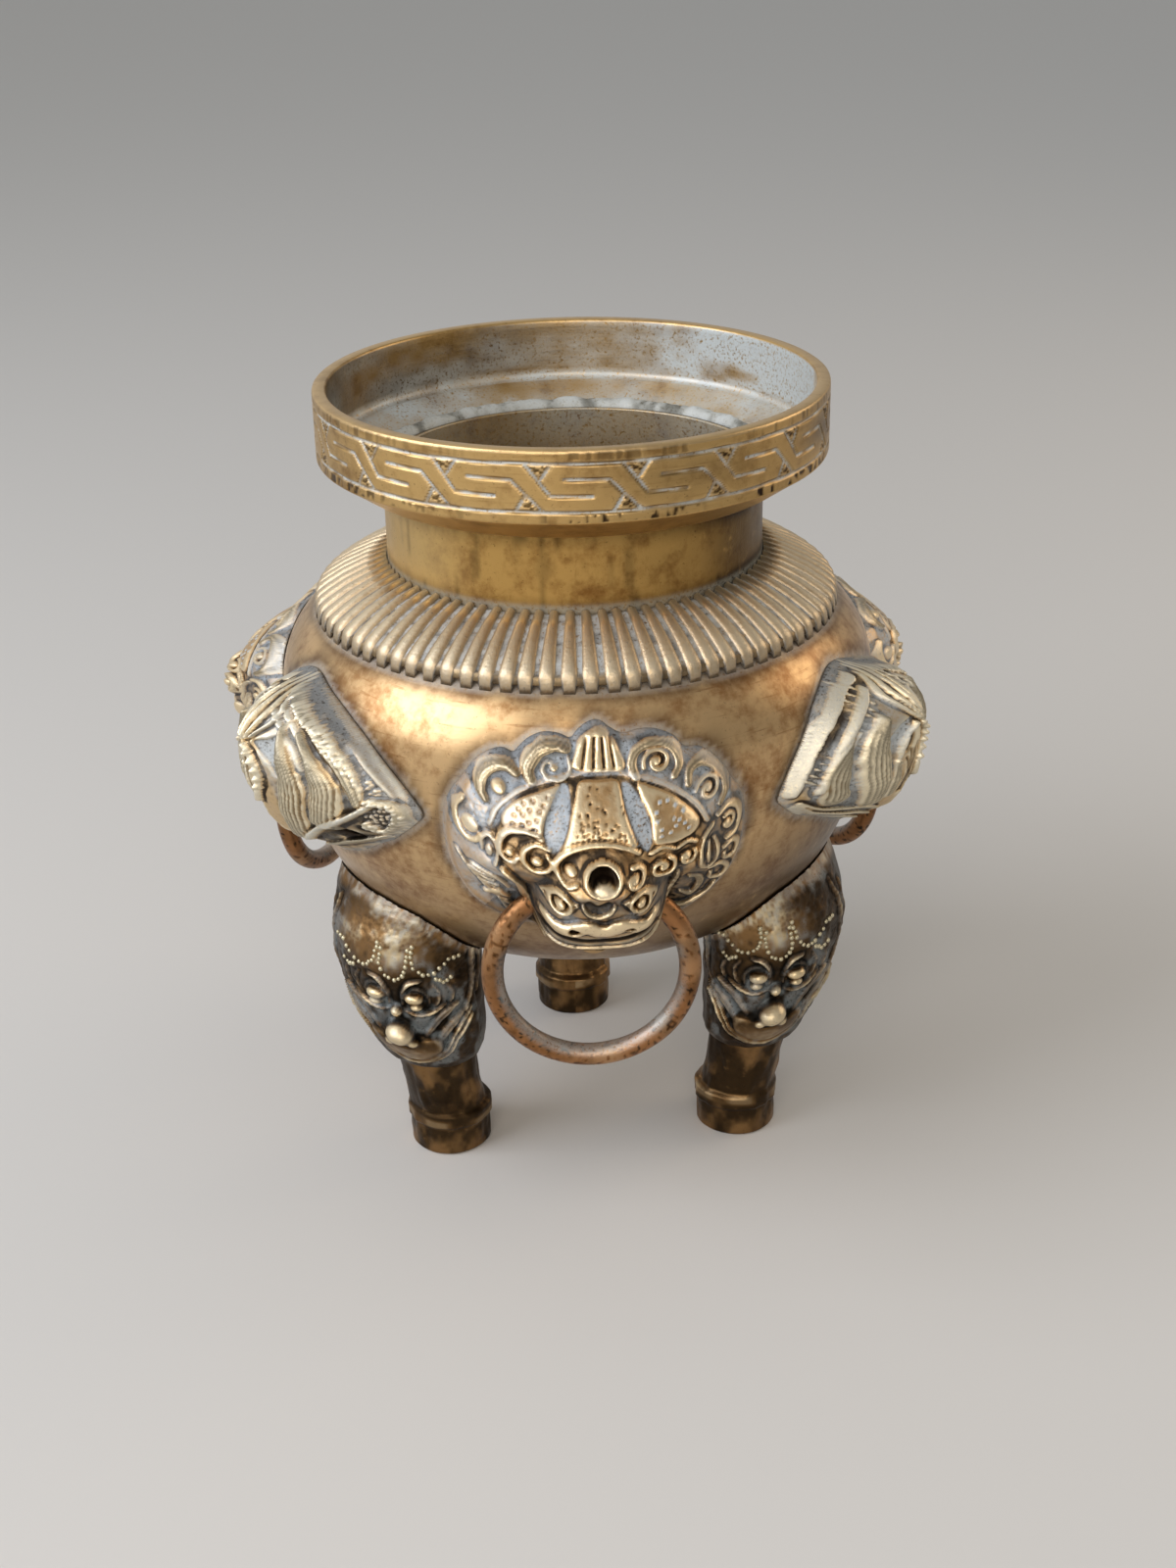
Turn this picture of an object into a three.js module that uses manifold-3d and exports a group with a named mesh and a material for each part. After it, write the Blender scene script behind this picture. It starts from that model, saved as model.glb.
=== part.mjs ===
import * as THREE from 'three';
import { mergeVertices } from 'three/addons/utils/BufferGeometryUtils.js';
import Module from 'manifold-3d';

const wasm = await Module();
wasm.setup();

// A brass tripod incense burner: a round bowl on three beast-headed legs, with a reeded collar,
// a short neck and a flat gallery, three lion masks that each hold a loose ring, and three
// beast-head bosses over the legs. Millimetres, +Z up, the front mask faces -Y. The origin lies
// on the surface that the feet stand on, in the middle of the whole object's width and depth.

// Clearances
const seamGap = 0.3; // between pieces that are soldered or stand on each other
const ringPlay = 1.2; // round a loose ring, in the pocket behind a mask's jaw

// Bowl
const bowlBottomZ = 45.6;
const bowlRadius = 60;
const bowlLowerHeight = 55.4; // from the underside up to the widest place
const bowlShoulderHeight = 20.5; // from the widest place up to the mouth
const bowlRoundness = 2.6; // exponent of the lower half's curve, 2 would be an ellipse
const bowlWall = 2.4;

// Neck tube and reeded collar
const neckRadius = 37.4;
const neckWall = 1.1;
const neckTail = 4; // how far the tube reaches down through the bowl's mouth
const neckVisibleHeight = 17; // from the collar's top to the gallery's floor
const neckLip = 0.6; // the tube's end stands this high over the gallery's floor
const collarInset = 7.7; // the collar's edge lies this far inside the bowl's widest place
const collarHeight = 5.4; // at the neck, above the bowl's mouth
const ribEndHeight = 3.2;
const ribCount = 84;
const ribDepth = 0.9;

// Gallery: the flat ring with an upright band, and the solder round the neck's end
const galleryRadius = 50;
const galleryWall = 2.7;
const galleryBandHeight = 13.6;
const galleryFloorThickness = 2.2;
const galleryFloorRise = 4.3; // from the neck up to the wall
const galleryFillet = 1.4; // between the floor and the wall
const bandDrop = 1; // the band's foot lies this far below the floor at the wall
const bandGrooveDepth = 0.5;
const bandGrooveWidth = 0.9;
const bandBorder = 2.4; // plain border above and below the grooves
const solderRadius = 1.1;

// Lion masks, turned about the vessel's axis from the front, in degrees
const maskTurns = { front: 0, back_left: -115, back_right: 118 };
const maskHalfWidth = 28;
const maskHalfHeight = 21.2;
const maskDrop = 9.2; // the mask's middle below the bowl's widest place
const maskEdge = 1.2;
const maskUpperRoundness = 2.3; // exponent of the outline's curve, 2 would be an ellipse
const maskLowerRoundness = 3.2;
const foreheadRise = 16;
const snoutRise = 22.4;
const snoutHalfWidth = 12.5;

// Loose rings
const ringRadius = 18.5; // to the middle of the rod
const rodRadius = 2.14;
const ringStandoff = 2; // the ring's plane, in front of the bowl's widest place
const ringShift = -1.5; // a hanging ring lies a little off the middle of its mask
const lugRadius = 4;
const lugBite = 2; // how far the ring's bar reaches into the jaw
const pocketDepth = 9.5; // from the ring's plane to the back of the jaw

// Beast-head bosses, over the legs
const bossHalfWidth = 27;
const bossUpperHeight = 20.4; // from the side corners up to the top
const bossLowerHeight = 15.5; // from the side corners down to the bottom
const bossDrop = 9; // the side corners below the bowl's widest place
const bossLean = 5; // the ridge and the top lie this far to the left of the middle
const bossEdge = 1.2;
const bossRise = 14.3;
const bossLockHalfWidth = 3.4;

// Legs, turned as the masks are
const legTurns = { left: -58.2, right: 61.8, back: 181.8 };
const footInset = 24.2; // the middle of a foot lies this far inside the bowl's widest place
const footRadius = 8.3;
const footBandRadius = 8.8;
const footBandZ = 7;
const footBandHeight = 2.4;
const shaftRadius = 7.9;
const shaftLean = 2.6; // the top of the shaft lies this far further out than the foot
const kneeBottomZ = 24.5;
const kneeInset = 2.4; // the knee's front lies this far inside the bowl's widest place
const kneeDepth = 27.6;
const kneeHalfWidth = 18;
const kneeCover = 23; // how far the leg's top reaches up the side of the bowl
const noseRadius = 2.8;
const eyeRadius = 2.3;

// Fineness of the round shapes
const latheSegments = 48;
const rodSides = 8;
const ringSegments = 28;
const legSides = 18;
const maskRows = 22;
const maskColumns = 22;
const bossRows = 16;
const bossColumns = 24;

// Places worked out from the sizes above
const bowlWaistZ = bowlBottomZ + bowlLowerHeight;
const bowlMouthZ = bowlWaistZ + bowlShoulderHeight;
const bowlMouthRadius = neckRadius + seamGap;
const collarRadius = bowlRadius - collarInset;
const collarTopZ = bowlMouthZ + collarHeight;
const galleryFloorZ = collarTopZ + neckVisibleHeight;
const galleryFootZ = galleryFloorZ + galleryFloorRise;
const bandFootZ = galleryFootZ - bandDrop;
const galleryTopZ = bandFootZ + galleryBandHeight;
const galleryBore = neckRadius + seamGap;
const galleryInside = galleryRadius - galleryWall;
const maskCentreZ = bowlWaistZ - maskDrop;
const ringReach = bowlRadius + ringStandoff;
const jawInnerReach = ringReach + pocketDepth;
const ringPivotZ = maskCentreZ - maskHalfHeight * 0.41;
const ringCentreZ = ringPivotZ - ringRadius;
const lugCentreZ = ringPivotZ - rodRadius - seamGap - lugRadius;
const bossCornerZ = bowlWaistZ - bossDrop;
const footReach = bowlRadius - footInset;
const kneeReach = bowlRadius - kneeInset;
const kneeInnerReach = kneeReach - kneeDepth;
const kneeTopZ = bowlBottomZ + kneeCover;

function finish(name, colour, roughness, metalness) {
  const material = new THREE.MeshStandardMaterial({ color: colour, roughness, metalness });
  material.name = name;
  return material;
}

const polishedBrass = () => finish('polished_brass', 0xc9a66b, 0.32, 0.9);
const wornBrass = () => finish('worn_brass', 0xa98a55, 0.45, 0.85);
const castBrass = () => finish('cast_brass', 0xa8946c, 0.5, 0.8);
const darkBronze = () => finish('dark_bronze', 0x4a4030, 0.5, 0.75);
const ringBronze = () => finish('ring_bronze', 0x7a5538, 0.42, 0.8);
const paleSolder = () => finish('pale_solder', 0xb9b4a6, 0.6, 0.6);

// Keeps only the places of a geometry's corners, joined where they meet
function bare(geometry) {
  const copy = geometry.clone();
  for (const name of Object.keys(copy.attributes)) {
    if (name !== 'position') copy.deleteAttribute(name);
  }
  return mergeVertices(copy, 1e-4);
}

function toSolid(geometry) {
  const merged = bare(geometry);
  return new wasm.Manifold(new wasm.Mesh({
    numProp: 3,
    vertProperties: new Float32Array(merged.attributes.position.array),
    triVerts: new Uint32Array(merged.index.array),
  }));
}

function fromSolid(solid) {
  const mesh = solid.getMesh();
  const geometry = new THREE.BufferGeometry();
  geometry.setAttribute('position', new THREE.BufferAttribute(mesh.vertProperties, 3));
  geometry.setIndex(new THREE.BufferAttribute(mesh.triVerts, 1));
  geometry.computeVertexNormals();
  return geometry;
}

function indexed(positions, index) {
  const geometry = new THREE.BufferGeometry();
  geometry.setAttribute('position', new THREE.Float32BufferAttribute(positions, 3));
  geometry.setIndex(index);
  geometry.computeVertexNormals();
  return geometry;
}

function piece(name, geometry, material) {
  const mesh = new THREE.Mesh(geometry, material);
  mesh.name = name;
  return mesh;
}

// A closed profile of [radius, height] pairs, turned about the Z axis: up the outside first
function turned(profile) {
  const points = profile.map(([radius, height]) => new THREE.Vector2(radius, height));
  return bare(new THREE.LatheGeometry(points, latheSegments).rotateX(Math.PI / 2));
}

// A value between [place, value] pairs, whose places rise
function along(pairs, place) {
  const next = pairs.findIndex((pair) => pair[0] > place);
  if (next === -1) return pairs[pairs.length - 1][1];
  if (next === 0) return pairs[0][1];
  const [from, low] = pairs[next - 1];
  const [to, high] = pairs[next];
  return low + (high - low) * ((place - from) / (to - from));
}

// Bowl

// Points of the bowl's curve from the middle of its underside to its mouth, drawn in by inset
function bowlCurve(inset, lowerSteps = 9, shoulderSteps = 5) {
  const points = [];
  for (let i = 0; i <= lowerSteps; i += 1) {
    const turn = (Math.PI / 2) * (i / lowerSteps);
    const out = Math.sin(turn) ** (2 / bowlRoundness);
    const down = Math.cos(turn) ** (2 / bowlRoundness);
    points.push([(bowlRadius - inset) * out, bowlWaistZ - (bowlLowerHeight - inset) * down]);
  }
  const shoulder = bowlRadius - bowlMouthRadius;
  for (let i = 1; i <= shoulderSteps; i += 1) {
    const turn = (Math.PI / 2) * (i / shoulderSteps);
    const radius = bowlMouthRadius + (shoulder - inset) * Math.cos(turn);
    points.push([radius, bowlWaistZ + (bowlShoulderHeight - inset) * Math.sin(turn)]);
  }
  return points;
}

// The bowl's outer radius at a height
function bowlRadiusAt(z) {
  if (z >= bowlWaistZ) {
    const rise = Math.min((z - bowlWaistZ) / bowlShoulderHeight, 1);
    return bowlMouthRadius + (bowlRadius - bowlMouthRadius) * Math.sqrt(1 - rise * rise);
  }
  const drop = Math.min((bowlWaistZ - z) / bowlLowerHeight, 1);
  return bowlRadius * (1 - drop ** bowlRoundness) ** (1 / bowlRoundness);
}

// How far the bowl's surface reaches forward at a place x across and z up
function bowlReachAt(x, z) {
  const radius = bowlRadiusAt(z);
  return Math.sqrt(Math.max(radius * radius - x * x, 1));
}

function bowl() {
  const outside = bowlCurve(0);
  const inside = bowlCurve(bowlWall, 7, 4).reverse();
  return piece('bowl', turned([...outside, ...inside]), polishedBrass());
}

// The bowl's outside, grown by a gap, as the tool that fits the legs to it
function bowlFormer(gap) {
  const flats = Math.cos(Math.PI / latheSegments);
  const outside = bowlCurve(-gap).map(([radius, z]) => [radius / flats, z]);
  outside[outside.length - 1][0] = 0;
  return toSolid(turned(outside));
}

// Neck and collar

function neckTube() {
  const inside = neckRadius - neckWall;
  const low = bowlMouthZ - neckTail;
  const high = galleryFloorZ + neckLip;
  const edge = neckWall * 0.3;
  return piece('neck_tube', turned([
    [inside, low],
    [neckRadius, low],
    [neckRadius, high - edge],
    [neckRadius - edge, high],
    [inside, high],
    [inside, low],
  ]), wornBrass());
}

// The height of the bowl's shoulder at a radius
function shoulderZAt(radius) {
  const share = Math.min((radius - bowlMouthRadius) / (bowlRadius - bowlMouthRadius), 1);
  return bowlWaistZ + bowlShoulderHeight * Math.sqrt(1 - share * share);
}

// One cross-section of the collar; crest runs from 0 in a valley to 1 on a rib
function collarSection(crest) {
  const drop = ribDepth * (1 - crest);
  const bore = neckRadius + seamGap;
  const width = collarRadius - bore;
  const seatGap = seamGap * 2;
  const endZ = shoulderZAt(collarRadius) + seatGap;
  const shoulder = bowlRadius - bowlMouthRadius;
  const edgeTurn = Math.asin((collarRadius - bowlMouthRadius) / shoulder);
  const seat = [0, 1 / 3, 2 / 3].map((share) => bowlMouthRadius + shoulder * Math.sin(edgeTurn * share));
  return [
    ...seat.map((radius) => [radius, shoulderZAt(radius) + seatGap]),
    [collarRadius - drop, endZ],
    [collarRadius - drop, endZ + ribEndHeight * 0.6],
    [collarRadius - drop - width * 0.1, endZ + ribEndHeight - drop / 2],
    [bore, collarTopZ - drop],
  ];
}

function reededCollar() {
  const columns = ribCount * 2;
  const positions = [];
  const index = [];
  for (let column = 0; column < columns; column += 1) {
    const angle = (column / columns) * Math.PI * 2;
    for (const [radius, z] of collarSection(column % 2)) {
      positions.push(radius * Math.cos(angle), radius * Math.sin(angle), z);
    }
  }
  const count = collarSection(0).length;
  for (let column = 0; column < columns; column += 1) {
    const next = (column + 1) % columns;
    for (let i = 0; i < count; i += 1) {
      const j = (i + 1) % count;
      const [a, b] = [column * count + i, column * count + j];
      const [c, d] = [next * count + j, next * count + i];
      index.push(a, d, c, a, c, b);
    }
  }
  return piece('reeded_collar', indexed(positions, index), castBrass());
}

// Gallery

function galleryRim() {
  const groove = (z) => [
    [galleryRadius, z - bandGrooveWidth / 2],
    [galleryRadius - bandGrooveDepth, z],
    [galleryRadius, z + bandGrooveWidth / 2],
  ];
  const bend = galleryWall / 2;
  return piece('gallery_rim', turned([
    [galleryBore, galleryFloorZ - galleryFloorThickness],
    [galleryRadius - bend, bandFootZ - bend * 0.6],
    [galleryRadius, bandFootZ + bend * 0.3],
    ...groove(bandFootZ + bandBorder),
    ...groove(galleryTopZ - bandBorder),
    [galleryRadius, galleryTopZ],
    [galleryInside, galleryTopZ],
    [galleryInside, galleryFootZ + galleryFillet],
    [galleryInside - galleryFillet, galleryFootZ],
    [galleryBore, galleryFloorZ],
    [galleryBore, galleryFloorZ - galleryFloorThickness],
  ]), wornBrass());
}

// The height of the gallery's dished floor at a radius
function galleryFloorAt(radius) {
  const width = galleryInside - galleryFillet - galleryBore;
  return galleryFloorZ + galleryFloorRise * ((radius - galleryBore) / width);
}

function gallerySolder() {
  const inner = neckRadius + seamGap;
  const outer = inner + solderRadius * 2;
  const foot = galleryFloorAt(outer) + seamGap;
  return piece('gallery_solder', turned([
    [inner, foot],
    [outer, foot],
    [outer - solderRadius * 0.4, foot + solderRadius * 0.8],
    [inner + solderRadius * 0.6, foot + solderRadius],
    [inner, foot + solderRadius * 0.7],
    [inner, foot],
  ]), paleSolder());
}

// A relief piece: a closed plate with a raised front and a back that follows the bowl.
// sidesAt(z) gives its left and right edge, and frontAt(x, z) how far its front reaches out.
function reliefPlate({ bottomZ, topZ, rows, columns, sidesAt, frontAt }) {
  const positions = [];
  const index = [];
  const addFace = (reachAt) => {
    const start = positions.length / 3;
    for (let row = 0; row <= rows; row += 1) {
      const turn = Math.PI * ((row + 0.5) / (rows + 1));
      const z = bottomZ + (topZ - bottomZ) * (0.5 - 0.5 * Math.cos(turn));
      const [left, right] = sidesAt(z);
      for (let column = 0; column <= columns; column += 1) {
        const x = left + (right - left) * (column / columns);
        positions.push(x, -reachAt(x, z), z);
      }
    }
    return (row, column) => start + row * (columns + 1) + column;
  };
  const quad = (a, b, c, d) => index.push(a, b, c, a, c, d);
  const front = addFace(frontAt);
  const back = addFace((x, z) => bowlReachAt(x, z) + seamGap);
  for (let row = 0; row < rows; row += 1) {
    for (let column = 0; column < columns; column += 1) {
      const [up, across] = [row + 1, column + 1];
      quad(front(row, column), front(row, across), front(up, across), front(up, column));
      quad(back(row, column), back(up, column), back(up, across), back(row, across));
    }
    quad(front(row, 0), front(row + 1, 0), back(row + 1, 0), back(row, 0));
    quad(front(row, columns), back(row, columns), back(row + 1, columns), front(row + 1, columns));
  }
  for (let column = 0; column < columns; column += 1) {
    quad(front(0, column), back(0, column), back(0, column + 1), front(0, column + 1));
    quad(front(rows, column), front(rows, column + 1), back(rows, column + 1), back(rows, column));
  }
  return indexed(positions, index);
}

// Lion masks

// A mask's outline is rounder above its middle and fuller at the cheeks below
const maskPowerAt = (z) => (z < maskCentreZ ? maskLowerRoundness : maskUpperRoundness);

function maskSidesAt(z) {
  const power = maskPowerAt(z);
  const up = Math.min(Math.abs(z - maskCentreZ) / maskHalfHeight, 1);
  const half = maskHalfWidth * (1 - up ** power) ** (1 / power);
  return [-half, half];
}

// Forehead and snout, from the mask's bottom (-1) to its top (1), as shares of their full rise
const foreheadShape = [
  [-1, 0], [-0.6, 0.1], [-0.3, 0.5], [-0.1, 0.88], [0.1, 1], [0.34, 0.9], [0.53, 0.65],
  [0.7, 0.29], [0.85, 0.09], [1, 0],
];
const snoutShape = [
  [-0.96, 0], [-0.88, 0.5], [-0.74, 0.7], [-0.65, 0.8], [-0.41, 0.89], [-0.27, 0.96], [-0.09, 1],
  [0.05, 0.91], [0.2, 0.67], [0.34, 0],
];

// The snout is wide at the jaw and narrow at the nose, as shares of its full width
const snoutWidthShape = [[-0.8, 0.95], [-0.5, 1], [-0.2, 0.7], [0.1, 0.55]];

// Main forms of a mask's ornament: the middle of each across and up, its half width and half
// height, all as shares of the mask's own, and its rise
const maskOrnament = [
  [0.02, 0.8, 0.13, 0.2, 1.5], // tuft at the top
  [-0.3, 0.74, 0.16, 0.18, 1.5], // curls of the mane
  [-0.65, 0.6, 0.16, 0.19, 1.5],
  [-0.83, 0.23, 0.12, 0.2, 1.2],
  [0.39, 0.73, 0.16, 0.18, 1.5],
  [0.72, 0.5, 0.16, 0.19, 1.5],
  [0.84, 0.12, 0.12, 0.2, 1.2],
  [-0.46, 0.4, 0.22, 0.2, 1], // three lobes of the forehead
  [0, 0.44, 0.2, 0.24, 1],
  [0.48, 0.38, 0.22, 0.2, 1],
  [-0.58, 0.08, 0.13, 0.15, 1.2], // curls of the brow
  [-0.32, 0.08, 0.13, 0.15, 1.2],
  [0.32, 0.04, 0.13, 0.15, 1.2],
  [0.58, 0.03, 0.13, 0.15, 1.2],
  [-0.22, -0.46, 0.18, 0.14, 1], // two lobes of the muzzle
  [0.22, -0.46, 0.18, 0.14, 1],
];

function maskOrnamentAt(x, z) {
  let rise = 0;
  for (const [across, up, wide, tall, height] of maskOrnament) {
    const aside = (x / maskHalfWidth - across) / wide;
    const above = ((z - maskCentreZ) / maskHalfHeight - up) / tall;
    rise = Math.max(rise, height * (1 - aside * aside - above * above));
  }
  return rise;
}

function maskFrontAt(x, z) {
  const power = maskPowerAt(z);
  const up = (z - maskCentreZ) / maskHalfHeight;
  const outwards = Math.abs(x / maskHalfWidth) ** power + Math.abs(up) ** power;
  const middle = (1 - Math.min(outwards, 1)) ** 0.8;
  const forehead = foreheadRise * along(foreheadShape, up) * middle;
  const beside = Math.min(Math.abs(x) / (snoutHalfWidth * along(snoutWidthShape, up)), 1);
  const snout = snoutRise * along(snoutShape, up) * (1 - beside ** 3) ** 0.5;
  const form = bowlReachAt(x, z) + seamGap + maskEdge + Math.max(forehead, snout);
  return form + maskOrnamentAt(x, z);
}

// A short round bar that points forward, from one reach to another
function forwardBar(radius, fromReach, toReach, z, sides) {
  const bar = new THREE.CylinderGeometry(radius, radius, toReach - fromReach, sides);
  return toSolid(bar.translate(ringShift, -(fromReach + toReach) / 2, z));
}

// The room that a ring needs behind the jaw: a short drum about the ring's own middle
function ringRoom() {
  const radius = ringRadius + rodRadius + ringPlay;
  return forwardBar(radius, bowlRadius / 2, jawInnerReach, ringCentreZ, 32);
}

// The bar behind the jaw that the ring hangs on, from the bowl to the jaw
function ringLug() {
  const inner = bowlReachAt(0, lugCentreZ + lugRadius) + seamGap;
  return forwardBar(lugRadius, inner, jawInnerReach + lugBite, lugCentreZ, 12);
}

function lionMask(name) {
  const plate = reliefPlate({
    bottomZ: maskCentreZ - maskHalfHeight,
    topZ: maskCentreZ + maskHalfHeight,
    rows: maskRows,
    columns: maskColumns,
    sidesAt: maskSidesAt,
    frontAt: maskFrontAt,
  });
  const solid = toSolid(plate).subtract(ringRoom()).add(ringLug());
  return piece(name, fromSolid(solid), castBrass());
}

function looseRing(name) {
  const rod = bare(new THREE.TorusGeometry(ringRadius, rodRadius, rodSides, ringSegments));
  rod.rotateX(Math.PI / 2);
  rod.translate(ringShift, -ringReach, ringCentreZ);
  return piece(name, rod, ringBronze());
}

// Beast-head bosses

// Share of the way from a boss's side corners (0) to its top or bottom (1)
function bossShareAt(z) {
  const height = z < bossCornerZ ? bossLowerHeight : bossUpperHeight;
  return Math.min(Math.abs(z - bossCornerZ) / height, 1);
}

function bossRidgeAt(z) {
  return z < bossCornerZ ? -bossLean * (1 - bossShareAt(z)) : -bossLean;
}

// A boss's outline is a lozenge with sides that swell a little
function bossSidesAt(z) {
  const power = z < bossCornerZ ? 1.25 : 1.7;
  const width = (1 - bossShareAt(z) ** power) ** (1 / power);
  const ridge = bossRidgeAt(z);
  return [ridge - (bossHalfWidth + ridge) * width, ridge + (bossHalfWidth - ridge) * width];
}

// The ridge's rise off the bowl, from the boss's bottom (-1) past its corners (0) to its top (1)
const bossRidgeShape = [
  [-1, 0], [-0.85, 0.12], [-0.6, 0.62], [-0.4, 0.75], [-0.1, 0.88], [0.25, 0.97], [0.43, 1],
  [0.6, 0.97], [0.75, 0.83], [0.88, 0.55], [1, 0.1],
];

// Combed locks beside the ridge: how far each rises, and its middle line from its top to its
// bottom, as shares of the boss's half width and of its height above or below the side corners
const bossLocks = [
  [2.2, [[0.126, 0.745], [0.267, 0.196], [0.156, -0.49]]],
  [2.2, [[0.237, 0.735], [0.504, 0.225], [0.433, -0.19]]],
  [1.6, [[0.074, 0.83], [0.526, 0.51], [0.711, 0.127]]],
  [2.2, [[-0.43, 0.637], [-0.526, 0.196], [-0.459, -0.27]]],
  [1.6, [[-0.57, 0.54], [-0.748, 0.127], [-0.741, -0.09]]],
];

// Distance from a place to the straight line between two points
function distanceTo([fromX, fromZ], [toX, toZ], x, z) {
  const [stepX, stepZ] = [toX - fromX, toZ - fromZ];
  const share = ((x - fromX) * stepX + (z - fromZ) * stepZ) / (stepX * stepX + stepZ * stepZ);
  const held = Math.min(Math.max(share, 0), 1);
  return Math.hypot(x - fromX - held * stepX, z - fromZ - held * stepZ);
}

function bossLockAt(x, z) {
  const placed = ([across, up]) => [
    across * bossHalfWidth,
    bossCornerZ + up * (up < 0 ? bossLowerHeight : bossUpperHeight),
  ];
  let rise = 0;
  for (const [height, line] of bossLocks) {
    const points = line.map(placed);
    for (let i = 1; i < points.length; i += 1) {
      const beside = distanceTo(points[i - 1], points[i], x, z) / bossLockHalfWidth;
      rise = Math.max(rise, height * (1 - beside * beside));
    }
  }
  return rise;
}

function bossFrontAt(x, z) {
  const up = z < bossCornerZ ? -bossShareAt(z) : bossShareAt(z);
  const ridge = bossRidgeAt(z);
  const [left, right] = bossSidesAt(z);
  const aside = Math.min(x < ridge ? (ridge - x) / (ridge - left) : (x - ridge) / (right - ridge), 1);
  const rise = bossRise * along(bossRidgeShape, up) * (1 - aside) ** 0.8;
  return bowlReachAt(x, z) + seamGap + bossEdge + rise + bossLockAt(x, z);
}

function beastBoss(name) {
  return piece(name, reliefPlate({
    bottomZ: bossCornerZ - bossLowerHeight,
    topZ: bossCornerZ + bossUpperHeight,
    rows: bossRows,
    columns: bossColumns,
    sidesAt: bossSidesAt,
    frontAt: bossFrontAt,
  }), castBrass());
}

// Legs

// Knee sections from its bottom (0) to the leg's top (1): shares of its reach beyond the shaft,
// and of its half width
const kneeShape = [
  [0.03, 0.3, 0.7],
  [0.1, 0.4, 0.86],
  [0.2, 0.55, 0.92],
  [0.31, 0.74, 0.93],
  [0.44, 0.88, 0.96],
  [0.56, 0.97, 0.99],
  [0.66, 1, 1],
  [0.76, 0.93, 1.02],
  [0.86, 0.78, 1.05],
  [0.93, 0.64, 1.08],
  [1, 0.5, 1.1],
];

// Rows of a leg from the sole up: height, outer reach, inner reach, half width
function legRows() {
  const round = (z, middle, radius) => [z, middle + radius, middle - radius, radius];
  const shaftTop = footReach + shaftLean;
  const shaftOuter = shaftTop + shaftRadius;
  const bandTopZ = footBandZ + footBandHeight;
  const bandEdge = footBandRadius - shaftRadius;
  const knee = kneeShape.map(([up, out, wide]) => [
    kneeBottomZ + (kneeTopZ - kneeBottomZ) * up,
    shaftOuter + (kneeReach - shaftOuter) * out,
    kneeInnerReach,
    kneeHalfWidth * wide,
  ]);
  return [
    round(0, footReach, footRadius),
    round(footBandZ - bandEdge, footReach, footRadius),
    round(footBandZ, footReach, footBandRadius),
    round(bandTopZ, footReach, footBandRadius),
    round(bandTopZ + bandEdge, footReach + shaftLean / 4, shaftRadius),
    round((bandTopZ + kneeBottomZ) / 2, footReach + shaftLean * 0.7, shaftRadius),
    [kneeBottomZ, shaftOuter, kneeInnerReach, shaftRadius + bandEdge],
    ...knee,
  ];
}

// A closed solid through rows of rounded sections
function lofted(rows, sides, power) {
  const positions = [];
  const index = [];
  for (const [z, outer, inner, halfWidth] of rows) {
    const middle = (outer + inner) / 2;
    const halfDepth = (outer - inner) / 2;
    for (let side = 0; side < sides; side += 1) {
      const angle = (side / sides) * Math.PI * 2;
      const [across, deep] = [Math.cos(angle), Math.sin(angle)];
      const x = halfWidth * Math.sign(across) * Math.abs(across) ** (2 / power);
      const y = halfDepth * Math.sign(deep) * Math.abs(deep) ** (2 / power);
      positions.push(x, y - middle, z);
    }
  }
  for (let row = 0; row < rows.length - 1; row += 1) {
    for (let side = 0; side < sides; side += 1) {
      const next = (side + 1) % sides;
      const [a, b] = [row * sides + side, row * sides + next];
      const [c, d] = [a + sides, b + sides];
      index.push(a, b, d, a, d, c);
    }
  }
  for (const [row, isBottom] of [[0, true], [rows.length - 1, false]]) {
    const [z, outer, inner] = rows[row];
    const centre = positions.length / 3;
    positions.push(0, -(outer + inner) / 2, z);
    for (let side = 0; side < sides; side += 1) {
      const [a, b] = [row * sides + side, row * sides + ((side + 1) % sides)];
      index.push(centre, isBottom ? b : a, isBottom ? a : b);
    }
  }
  return indexed(positions, index);
}

function ball(radius, x, reach, z) {
  return toSolid(new THREE.SphereGeometry(radius, 8, 6).translate(x, -reach, z));
}

// The nose and the two eyes of the beast's head stand half out of the knee
function leg(name) {
  const kneeHeight = kneeTopZ - kneeBottomZ;
  const noseReach = kneeReach - noseRadius * 1.6;
  const noseZ = kneeBottomZ + kneeHeight * 0.29;
  const eyeReach = kneeReach - eyeRadius * 1.8;
  const eyeZ = kneeBottomZ + kneeHeight * 0.42;
  const eyeAside = kneeHalfWidth / 3;
  const solid = toSolid(lofted(legRows(), legSides, 2.1))
    .subtract(bowlFormer(seamGap))
    .add(ball(noseRadius, 0, noseReach, noseZ))
    .add(ball(eyeRadius, -eyeAside, eyeReach, eyeZ))
    .add(ball(eyeRadius, eyeAside, eyeReach, eyeZ));
  return piece(name, fromSolid(solid), darkBronze());
}

// Sets a piece round the vessel's axis, turned from the front by an angle in degrees
function turnedTo(mesh, degrees) {
  mesh.rotation.z = THREE.MathUtils.degToRad(degrees);
  return mesh;
}

function censer() {
  const vessel = new THREE.Group();
  vessel.add(bowl(), reededCollar(), neckTube(), galleryRim(), gallerySolder());
  for (const [place, turn] of Object.entries(maskTurns)) {
    vessel.add(turnedTo(lionMask(`lion_mask_${place}`), turn));
    vessel.add(turnedTo(looseRing(`ring_${place}`), turn));
  }
  for (const [place, turn] of Object.entries(legTurns)) {
    vessel.add(turnedTo(leg(`leg_${place}`), turn));
    vessel.add(turnedTo(beastBoss(`beast_boss_${place}`), turn));
  }
  return vessel;
}

// Moves the vessel so that the origin is in the middle of its width and depth
function centred(vessel) {
  const middle = new THREE.Box3().setFromObject(vessel, true).getCenter(new THREE.Vector3());
  vessel.position.set(-middle.x, -middle.y, 0);
  return vessel;
}

const group = centred(censer());

export default group;
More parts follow.
